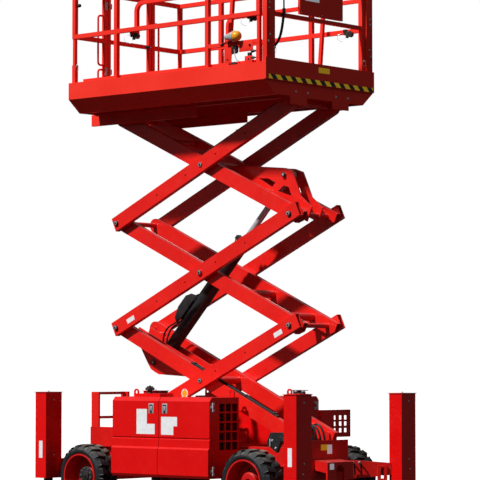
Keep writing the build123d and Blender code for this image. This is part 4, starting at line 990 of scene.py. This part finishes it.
# all places are along the cylinder from its lower pin, and off its middle line
ram = {"pipe": 0.006, "pipeAside": 0.017, "pipeOff": 0.079, "pipeClamps": (0.86, 1.16, 1.46),
       "pipeRun": ((1.700, 0.100), (1.672, 0.100), (1.652, 0.079), (1.2, 0.079), (0.690, 0.079)),
       "block": (0.56, 0.70), "blockOff": 0.100, "saddle": (1.705, 0.090),
       "collars": (1.729, 1.642, 0.056), "collar": 0.0735,
       "guard": ((0.500, 0.072), (0.520, 0.140), (0.640, 0.186), (0.800, 0.186), (0.872, 0.140),
                 (0.905, 0.072)), "guardTop": (0.640, 0.800), "guardSides": (-0.062, 0.056),
       "bolts": 8, "boltRing": 0.058, "boltsAt": 1.7305, "eye": 2.6368}
# a hose from the valve block: back from the block, off the middle line, share of its aside
ramHose = {"aside": 0.024, "radius": 0.009,
           "run": ((0.015, 0.106, 1), (0.08, 0.112, 1), (0.19, 0.165, 1.4), (0.30, 0.150, 1.4),
                   (0.37, 0.100, 1), (0.385, 0.072, 1))}


def ramPoint(along, off, y=0.0):
    return pins["barrel_tilt"] + slideWay * along + slideUp * off + yWay * y


def makeRamTrim():
    turn = Matrix.Rotation(-math.atan2(slideWay.z, slideWay.x), 3, "Y")
    pipes, black, bright, hoses = fresh(4)
    for y in (-ram["pipeAside"], ram["pipeAside"]):
        tubeInto(pipes, [ramPoint(u, v, y) for u, v in ram["pipeRun"]], ram["pipe"], 12)
    for along in ram["pipeClamps"]:
        blockInto(black, ramPoint(along, ram["pipeOff"] - 0.001), (0.010, 0.029, 0.0095), 0.002,
                  turn=turn)
        boltInto(bright, ramPoint(along, ram["pipeOff"] + 0.008), slideUp, 0.0045)
    blockInto(black, ramPoint(*ram["saddle"]), (0.022, 0.032, 0.020), 0.003, turn=turn)
    a, b = ram["block"]
    blockInto(black, ramPoint((a + b) / 2, ram["blockOff"]), ((b - a) / 2, 0.048, 0.032), 0.004,
              turn=turn)
    outline = [(at.x, at.z) for at in (ramPoint(u, v) for u, v in ram["guard"])]
    for y in ram["guardSides"]:
        plateInto(black, outline, 1, y, 0.006, 0.0012)
    u, v = ram["guardTop"]
    blockInto(black, ramPoint((u + v) / 2, 0.183), ((v - u) / 2, 0.060, 0.003), 0.001, 1, turn)
    for along in (a + 0.03, a + 0.07, a + 0.11):
        discInto(bright, ramPoint(along, 0.131), slideUp, 0.011, 0.014, 6, 0.001)
    for y in (-ramHose["aside"], ramHose["aside"]):
        discInto(bright, ramPoint(a + 0.003, 0.106, y), -slideWay, 0.011, 0.022, 6, 0.001)
        points = [ramPoint(a - back, off, y * share) for back, off, share in ramHose["run"]]
        tubeInto(hoses, points, ramHose["radius"], 12)
    for along in ram["collars"]:
        discInto(black, ramPoint(along, 0), slideWay, ram["collar"], 0.012, 48, 0.002)
    for spot in ringOf(ramPoint(ram["boltsAt"], 0), slideUp * ram["boltRing"],
                       yWay * ram["boltRing"], ram["bolts"], 0.5):
        boltInto(bright, spot, slideWay, 0.006)
    addPieces("barrel", ("ramPipes", pipes, "black"), ("ramValveBlock", black, "black"),
              ("ramFittings", bright, "zinc"), ("ramHoses", hoses, "hose"))


makeArmClamps()
makeUpperCable()
makeRamTrim()
print("hoses and cylinder trimmed")

band = {"levels": (0.004, 0.051), "reach": (-0.812, 0.835), "first": -0.868, "pitch": 0.152,
        "wide": 0.076, "lean": 0.044, "skin": 0.0006}
platformSign = {"across": (-0.044, 0.130), "levels": (0.128, 0.183)}


def makeToeBand():
    low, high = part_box("extension_deck")
    z0, z1 = (low.z + level for level in band["levels"])
    y0, y1 = band["reach"]
    dark, bright, sign = fresh(3)
    labelInto(dark, high.x, (y0, y1), (z0, z1), band["skin"])
    y = band["first"]
    while y < y1:
        corners = ((y, z1), (y + band["wide"], z1), (y + band["wide"] + band["lean"], z0),
                   (y + band["lean"], z0))
        bright.faces.new([bright.verts.new((high.x, a, b)) for a, b in corners])
        y += band["pitch"]
    for edge, way in ((y0, -1), (y1, 1)):
        bmesh.ops.bisect_plane(bright, geom=bright.verts[:] + bright.edges[:] + bright.faces[:],
                               plane_co=(0, edge, 0), plane_no=(0, way, 0), clear_outer=True)
    grown = bmesh.ops.extrude_face_region(bright, geom=bright.faces[:])["geom"]
    bmesh.ops.translate(bright, vec=(2 * band["skin"], 0, 0), verts=vertsIn(grown))
    bright = inOrder(bright)
    bmesh.ops.recalc_face_normals(bright, faces=bright.faces)
    labelInto(sign, high.x, platformSign["across"],
              [low.z + level for level in platformSign["levels"]], 0.0009)
    # the yellow stripes and the sign glow with painted light, so they stay bright in shade
    addPieces("extension", ("toeBandDark", dark, "plastic"), ("toeBandYellow", bright, "hazard"),
              ("platformSign", sign, "hazard"))


deckFront = {"sheetHalf": 0.456, "sheetLevels": (0.045, 0.172), "boltLevel": 0.097,
             "bolts": (-0.378, -0.192, 0.250, 0.443), "boltSize": 0.0115}


def makeDeckFront():
    x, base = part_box("platform_deck")[1].x, pins["level"].z
    sheet, bolts = fresh(2)
    half, (foot, top) = deckFront["sheetHalf"], deckFront["sheetLevels"]
    boxInto(sheet, (x - 0.0055, -half, base + foot), (x - 0.0012, half, base + top), 0.0006, 1)
    for y in deckFront["bolts"]:
        boltInto(bolts, (x - bite, y, base + deckFront["boltLevel"]), xWay,
                 deckFront["boltSize"])
    addPieces("platform_deck", ("deckFrontSheet", sheet, "railRed"),
              ("deckFrontBolts", bolts, "zinc"))


makeToeBand()
makeDeckFront()

# boxes and leads are given as x, out from the face of the rails, and z
beacon = {
    "x": 0.848, "face": -0.8345, "rise": 0.637, "stand": 0.046,
    "mount": ((0.791, 4.497), (0.886, 4.489), (0.890, 4.728), (0.876, 4.742), (0.812, 4.762),
              (0.795, 4.752)),
    "plates": (((0.990, -0.006, 4.592), (1.174, 0.0005, 4.700), 0.003),
               ((1.068, -0.010, 4.474), (1.170, -0.004, 4.546), 0.003)),
    "sockets": (((1.100, -0.004, 4.520), (1.134, 0.030, 4.580), 0.003),
                ((0.896, -0.012, 4.622), (0.956, 0.030, 4.664), 0.006),
                ((0.868, -0.004, 4.474), (0.948, 0.026, 4.494), 0.005)),
    "bolts": ((0.846, 4.694, 0.0085), (0.838, 4.530, 0.0085), (1.134, 4.652, 0.012),
              (1.122, 4.514, 0.010)),
    "dome": ((0.124, 0.051), (0.146, 0.0525), (0.166, 0.048), (0.180, 0.038), (0.189, 0.022),
             (0.192, 0.0)),
    "plugs": ((4.590, 0.0528), (4.523, 0.0372)),
    "plugLead": ((0.021, 0, 0), (0.050, 0, 0), (0.075, 0.002, -0.003), (0.090, 0.006, -0.016)),
    "lampLead": ((0.002, -0.046, 0), (-0.020, -0.046, 0.002), (-0.052, -0.042, -0.012),
                 (-0.066, -0.014, -0.042), (-0.074, -0.008, -0.062), (-0.110, -0.008, -0.066)),
    "greyLead": ((0.930, -0.008, 4.628), (0.934, -0.010, 4.590), (0.946, -0.012, 4.545),
                 (0.968, -0.012, 4.512), (0.995, -0.006, 4.498)),
}


def makeBeacon():
    face = yWay * beacon["face"]
    middle = face + Vector((beacon["x"], 0, pins["level"].z + beacon["rise"]))
    lamp = middle - yWay * beacon["stand"]
    plates, bolts, grey, lens, black, pale = fresh(6)
    plateInto(plates, beacon["mount"], 1, face.y - 0.006, 0.0065, 0.0012)
    boxInto(plates, middle + Vector((-0.012, -0.050, -0.052)),
            middle + Vector((0.030, -0.004, -0.046)), 0.001)
    for bm, boxes in ((plates, beacon["plates"]), (black, beacon["sockets"])):
        for low, high, edge in boxes:
            boxInto(bm, face + Vector(low), face + Vector(high), edge)
    for x, z, size in beacon["bolts"]:
        boltInto(bolts, face + Vector((x, -0.0055, z)), -yWay, size)
    stackInto(grey, lamp, xWay, (0, 0.024, 0.112, 36, 0.0, 0.052),
              (0.111, 0.0555, 0.014, 36, 0.003))
    spinInto(lens, [lamp + Vector((x, 0, z)) for x, z in beacon["dome"]], lamp, xWay, 36)
    bmesh.ops.remove_doubles(lens, verts=lens.verts, dist=0.0001)
    bmesh.ops.holes_fill(lens, edges=[e for e in lens.edges if e.is_boundary], sides=0)
    bmesh.ops.recalc_face_normals(lens, faces=lens.faces)
    tubeInto(black, [middle + Vector(at) for at in beacon["lampLead"]], 0.0075, 12)
    for z, length in beacon["plugs"]:
        foot = face + Vector((1.150, 0.004, z))
        stackInto(black, foot, xWay, (0, 0.0165, 0.022, 20, 0.003),
                  (0.021, 0.014, length, 20, 0.0, 0.006))
        tubeInto(black, [foot + Vector(at) for at in beacon["plugLead"]], 0.0048, 10)
    tubeInto(pale, [face + Vector(at) for at in beacon["greyLead"]], 0.0045, 10)
    addPieces("platform_rails", ("beaconPlates", plates, "railRed"),
              ("beaconBolts", bolts, "black"), ("beaconBase", grey, "lightGrey"),
              ("beaconLens", lens, "amber"), ("beaconSockets", black, "plastic"),
              ("beaconLead", pale, "lightGrey"))


makeBeacon()

# the sprung stops under the middle rails, each with its wire loop
railStop = {"places": ((1.104, -0.7735), (1.080, 0.7735)), "under": 0.0225, "high": 0.044,
            "low": 0.047, "roller": 0.030, "foot": 0.015, "loop": 0.045, "wire": 0.0018,
            "lean": (0.75, 0.66, 0)}
heelPad = {"after": 0.052, "aside": 0.768, "under": 0.0525}


def makeStops(carrier, title, places):
    black, wire = fresh(2)
    for x, y, z in places:
        top, foot = z + railStop["high"], z - railStop["low"]
        boxInto(black, (x - 0.062, y - 0.014, top - 0.028), (x - 0.020, y + 0.014, top), 0.004)
        boxInto(black, (x - 0.058, y - 0.012, z - 0.016), (x + 0.034, y + 0.012, top - 0.020),
                0.005)
        discInto(black, (x + 0.034, y - 0.017, z - 0.014), yWay, railStop["roller"], 0.034, 28,
                 0.004)
        discInto(black, (x - 0.012, y, foot), zWay, railStop["foot"], 0.05, 20, 0.003)
        across = Vector(railStop["lean"]) * railStop["loop"]
        middle = Vector((x - 0.030, y, foot + 0.006)) - across
        tubeInto(wire, ringOf(middle, across, zWay * railStop["loop"], 10), railStop["wire"], 6,
                 closed=True)
    addPieces(carrier, (title + "s", black, "plastic"), (title + "Wires", wire, "zinc"))


rail = pins["gate_swing"].z
makeStops("platform_rails", "railStop", [(*at, rail - railStop["under"])
                                         for at in railStop["places"]])
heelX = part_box("extension_rails")[0].x + heelPad["after"]
makeStops("extension_rails", "heelPad", [(heelX, out * heelPad["aside"], rail - heelPad["under"])
                                         for side, out in sides])

cornerPost = {"depth": (1.296, 1.354), "flat": (0.8225, 0.8365), "inner": (0.7395, 0.8060),
              "foot": 0.0428, "innerDeep": 0.012, "spacers": ((0.04, 0.25), (0.49, 0.99)),
              "spacerIn": 0.006, "overlap": 0.003, "boltSize": 0.0095,
              "bolts": ((0.794, 0.588), (0.800, 0.532), (0.787, 0.270), (0.812, 0.202))}


def makeCornerPosts():
    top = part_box("extension_rails")[1].z - 0.003
    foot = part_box("extension_deck")[1].z - cornerPost["foot"]
    x0, x1 = cornerPost["depth"]
    posts, bolts = fresh(2)
    for side, out in sides:
        for name, deep in (("flat", 0.0), ("inner", cornerPost["innerDeep"])):
            y0, y1 = sorted(out * y for y in cornerPost[name])
            boxInto(posts, (x0 + deep, y0, foot), (x1 - deep * 0.2, y1, top), 0.003)
        overlap, inset = cornerPost["overlap"], cornerPost["spacerIn"]
        y0, y1 = sorted((out * (cornerPost["inner"][1] - overlap),
                         out * (cornerPost["flat"][0] + overlap)))
        for a, b in cornerPost["spacers"]:
            boxInto(posts, (x0 + inset, y0, foot + a), (x1 - inset, y1, foot + b), 0.001, 1)
        for y, rise in cornerPost["bolts"]:
            boltInto(bolts, (x1 - 0.003, out * y, foot + rise), xWay, cornerPost["boltSize"])
    addPieces("extension_rails", ("extensionCornerPosts", posts, "railRed"),
              ("cornerPostBolts", bolts, "zinc"))


lockPin = {"railIn": 0.0395, "rail": (0.812, 4.652), "extension": (0.708, 4.622),
           "knob": (0.800, 5.298), "loop": (0.026, 0.035), "hang": 0.021, "wire": 0.0012}
pinDiscs = ((-0.004, 0.0075, 0.022, 14, 0.002), (0.014, 0.0125, 0.005, 18, 0.0015))
knobDiscs = ((0, 0.008, 0.020, 14), (0.018, 0.019, 0.022, 24, 0.006))


def makeLockPins(carrier, title, x):
    bright, wire = fresh(2)
    wide, tall = lockPin["loop"]
    y, z = lockPin[title]
    for side, out in sides:
        foot = Vector((x, out * y, z))
        stackInto(bright, foot, xWay, *pinDiscs)
        tubeInto(wire, ringOf(foot + xWay * 0.012 - zWay * lockPin["hang"], -yWay * wide,
                              zWay * tall, 9), lockPin["wire"], 6, closed=True)
    addPieces(carrier, (title + "LockPins", bright, "zinc"), (title + "LockWires", wire, "zinc"))


def makeLocks():
    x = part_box("platform_rails")[0].x + lockPin["railIn"]
    makeLockPins("platform_rails", "rail", x)
    y, z = lockPin["knob"]
    knobs = bmesh.new()
    for side, out in sides:
        stackInto(knobs, (x + 0.005, out * y, z), xWay, *knobDiscs)
    addPieces("platform_rails", ("railLockKnobs", knobs, "plastic"))
    makeLockPins("extension_rails", "extension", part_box("extension_rails")[1].x)


# hinge plates: across, half the height, stand, bolts up and down, bolt size
gateTrim = {"levels": (4.6355, 5.3455), "faceIn": 0.045,
            "post": ((-0.3885, -0.3490), 0.043, 0.0035, 0.026, 0.0065),
            "leaf": ((-0.3170, -0.2900), 0.029, 0.0025, 0.016, 0.0055),
            "latch": ((-0.0005, 0.238, -0.018), (0.016, 0.300, 0.014)),
            "bolt": ((0.008, 0.296, -0.002), 0.006, 0.030),
            "knob": ((0.014, 0.262, -0.002), 0.010, 0.016)}


def makeGateTrim():
    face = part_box("platform_rails")[0].x + gateTrim["faceIn"]
    hinge = pins["gate_swing"]
    onPost, onGate, dark = fresh(3)
    for z in gateTrim["levels"]:
        for bm, x, key in ((onPost, face, "post"), (onGate, hinge.x, "leaf")):
            (y0, y1), half, stand, lift, bolt = gateTrim[key]
            boxInto(bm, (x - bite, y0, z - half), (x + stand, y1, z + half), 0.001, 1)
            for level in (z - lift, z + lift):
                boltInto(bm, (x + stand - bite, (y0 + y1) / 2, level), xWay, bolt)
        discInto(onPost, (hinge.x, hinge.y, z + 0.0305), zWay, 0.0085, 0.004, 18, 0.001)
    latch = Vector((face - 0.0025, 0, hinge.z))
    boxInto(dark, *(latch + Vector(corner) for corner in gateTrim["latch"]), 0.003)
    at, radius, length = gateTrim["bolt"]
    discInto(onGate, latch + Vector(at), yWay, radius, length, 14, 0.001)
    at, radius, length = gateTrim["knob"]
    discInto(dark, latch + Vector(at), xWay, radius, length, 20, 0.003)
    addPieces("platform_rails", ("gateHingePlates", onPost, "zinc"))
    addPieces("entry_gate", ("gateHingeLeaves", onGate, "zinc"), ("gateLatch", dark, "plastic"))


panel = {"across": (-0.216, 0.006), "levels": (5.149, 5.240), "screwIn": 0.018,
         "screwSize": 0.006}


def makePanelTrim():
    low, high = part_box("document_box")
    label, screws, edge = fresh(3)
    labelInto(label, high.x, panel["across"], panel["levels"])
    inset = panel["screwIn"]
    for y in (low.y + inset, (low.y + high.y) / 2, high.y - inset):
        for z in (low.z + inset, high.z - inset):
            boltInto(screws, (high.x - bite, y, z), xWay, panel["screwSize"])
    for z in (low.z + 0.002, high.z - 0.006):
        boxInto(edge, (low.x - 0.001, low.y, z), (high.x + 0.0014, high.y, z + 0.004), 0.001, 1)
    # the panel label's bluish tint and glow are painted light
    addPieces("document_box", ("panelLabel", label, "paintedLitLabel"),
              ("panelScrews", screws, "zinc"), ("panelEdges", edge, "railRed"))


# places on the slope are ahead from its lower edge and across from the near side
controls = {"slope": (0.115, 0.086), "stick": (0.045, 0.225), "stop": (0.055, 0.075),
            "switchAhead": 0.050, "switches": (0.120, 0.155, 0.190), "plate": (0.100, 0.155),
            "plateHalf": (0.018, 0.100, 0.0009), "studIn": 0.012, "studLevels": (0.014, 0.180),
            "stud": (-0.0005, 0.005, 0.003, 16, 0.0008), "corner": 0.008,
            "stopPlate": (-0.0005, 0.030, 0.002, 36, 0.0005), "stopNeck": (0.001, 0.012, 0.012, 20),
            "stopHead": (0.012, 0.020, 0.012, 32, 0.005), "socket": (0, 0.020, 0.018, 24, 0.003),
            "socketAt": (0.110, 0.004, 0.041), "toggleLean": 0.35}
stickDiscs = ((-0.001, 0.030, 0.006, 32, 0.002), (0.004, 0.024, 0.020, 28, 0.0, 0.010),
              (0.020, 0.0075, 0.026, 16), (0.044, 0.013, 0.024, 20, 0.006))


def makeControls():
    low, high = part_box("control_box")
    run, rise = controls["slope"]
    body, dark, red, yellow, bright, plate = fresh(6)
    outline = [(low.x, low.z), (high.x, low.z), (high.x, high.z), (low.x + run, high.z),
               (low.x, high.z - rise)]
    plateInto(body, outline, 1, low.y, high.y - low.y, controls["corner"])
    up = Vector((-rise, 0, run)).normalized()
    along = Vector((run, 0, rise)).normalized()

    def onSlope(ahead, y):
        return Vector((low.x, low.y + y, high.z - rise)) + along * ahead

    stackInto(dark, onSlope(*controls["stick"]), up, *stickDiscs)
    spot = onSlope(*controls["stop"])
    for bm, key in ((yellow, "stopPlate"), (dark, "stopNeck"), (red, "stopHead")):
        stackInto(bm, spot, up, controls[key])
    for y in controls["switches"]:
        spot = onSlope(controls["switchAhead"], y)
        discInto(bright, spot - up * bite, up, 0.009, 0.004, 6, 0.0006)
        discInto(bright, spot + up * 0.003, up + along * controls["toggleLean"], 0.0032, 0.018,
                 12, 0.001)
    blockInto(plate, onSlope(*controls["plate"]), controls["plateHalf"], 0.0004, 1,
              Matrix.Rotation(-math.atan2(rise, run), 3, "Y"))
    for y in (low.y + controls["studIn"], high.y - controls["studIn"]):
        for level in controls["studLevels"]:
            stackInto(bright, (high.x, y, low.z + level), xWay, controls["stud"])
    stackInto(dark, low + Vector(controls["socketAt"]), -yWay, controls["socket"])
    made = addPieces("control_box", ("controlBox", body, "greyPlastic"))
    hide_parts("control_box")
    addPieces("control_box", ("controlStick", dark, "plastic"), ("stopButton", red, "red"),
              ("stopPlate", yellow, "yellow"), ("controlSwitches", bright, "zinc"),
              ("controlPlate", plate, "white", "grey_plastic"))


# points of the run in the part's frame, from the control box past the front rail to the deck
cableRoute = ((1.2490, -0.4303, 5.3254), (1.2490, -0.4700, 5.3254), (1.2780, -0.4960, 5.2900),
              (1.3180, -0.5360, 5.1700), (1.3360, -0.5560, 5.0700), (1.3445, -0.5650, 5.0000),
              (1.3440, -0.5850, 4.8500), (1.3240, -0.6160, 4.7000), (1.2560, -0.6640, 4.6100),
              (1.2400, -0.6760, 4.5000), (1.2400, -0.6760, 4.3844))
cable = {"thin": 0.0080, "thick": 0.0135, "joint": 5}


def makeControlCable():
    thin, thick, joint = fresh(3)
    at = cable["joint"]
    tubeInto(thin, cableRoute[:at + 1], cable["thin"], 12)
    tubeInto(thick, cableRoute[at:], cable["thick"], 16)
    way = (Vector(cableRoute[at - 1]) - Vector(cableRoute[at])).normalized()
    stackInto(joint, cableRoute[at], way, (-0.018, 0.0165, 0.046, 20, 0.003))
    discInto(joint, cableRoute[0], -yWay, 0.0150, 0.022, 20, 0.003)
    stackInto(joint, cableRoute[-1], zWay, (-0.0006, 0.0185, 0.020, 20, 0.003))
    made = addPieces("control_cable", ("controlCable", thick, "hose"))
    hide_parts("control_cable")
    addPieces("control_cable", ("controlLead", thin, "hose"),
              ("controlCableJoints", joint, "plastic", "hose_rubber"))


tread = {"pitch": 0.062, "half": 0.021, "rise": 0.0016, "top": 0.270, "step": 0.030}


def treadInto(bm, x0, x1, y0, y1, z):
    rows = int((x1 - x0) / tread["pitch"])
    columns = int((y1 - y0) / tread["pitch"])
    for i in range(rows):
        for j in range(columns):
            turn = math.radians(45 if (i + j) % 2 else -45)
            spot = Vector((x0 + (i + 0.5) * (x1 - x0) / rows, y0 + (j + 0.5) * (y1 - y0) / columns,
                           z + tread["rise"] / 2 - 0.0001))
            shape = Matrix.Translation(spot) @ Matrix.Rotation(turn, 4, "Z") @ \
                Matrix.Diagonal((1.0, 0.30, 1.0, 1.0))
            bmesh.ops.create_cone(bm, cap_ends=True, segments=4, radius1=tread["half"],
                                  radius2=tread["half"] * 0.7, depth=tread["rise"], matrix=shape)


def makeTreads():
    low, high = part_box("extension_deck")
    top = pins["level"].z + tread["top"]
    floor, x = top - tread["step"], pins["gate_swing"].x - 0.060
    upper, lower = fresh(2)
    treadInto(upper, low.x + 0.02, high.x - 0.04, -0.720, 0.720, top)
    treadInto(lower, x, 1.300, -0.650, 0.650, floor)
    for y0, y1 in ((-0.790, -0.725), (0.725, 0.790)):
        treadInto(lower, x + 0.10, 1.200, y0, y1, floor)
    addPieces("extension_deck", ("extensionTread", upper, "railRed"), sharp=20.0)
    addPieces("platform_deck", ("deckTread", lower, "railRed"), sharp=20.0)


makeCornerPosts()
makeLocks()
makeGateTrim()
makePanelTrim()
makeControls()
makeControlCable()
makeTreads()
print("platform trimmed")

cylinderPin = {"start": 0.104, "head": (0, 0.025, 0.017, 32, 0.003),
               "bolt": (0.0165, 0.012, 0.004, 20, 0.001)}
marker = {"place": (-0.191, 1.191), "radius": 0.046, "rim": 0.010}


def makeCylinderPins(title, carrier, foot):
    black, bright = fresh(2)
    for side, out in sides:
        at = (foot.x, out * cylinderPin["start"], foot.z)
        stackInto(black, at, yWay * out, cylinderPin["head"])
        stackInto(bright, at, yWay * out, cylinderPin["bolt"])
    addPieces(carrier, (title + "PinHeads", black, "black"), (title + "PinBolts", bright, "zinc"))


def makeMarker():
    x, z = marker["place"]
    disc, rim = fresh(2)
    foot = (x, bite - stack["face"], z)
    stackInto(rim, foot, -yWay, (0, marker["radius"], 0.0010, 40))
    stackInto(disc, foot, -yWay, (0.0006, marker["radius"] - marker["rim"], 0.0009, 40))
    addPieces("outer_1", ("armMarkerRim", rim, "white", "grey_plastic"),
              ("armMarker", disc, "amber"))


makeCylinderPins("barrel", "inner_1", pins["barrel_tilt"])
makeCylinderPins("rod", "inner_3", ramPoint(ram["eye"], 0.0))
makeMarker()
print("cylinder pins made")
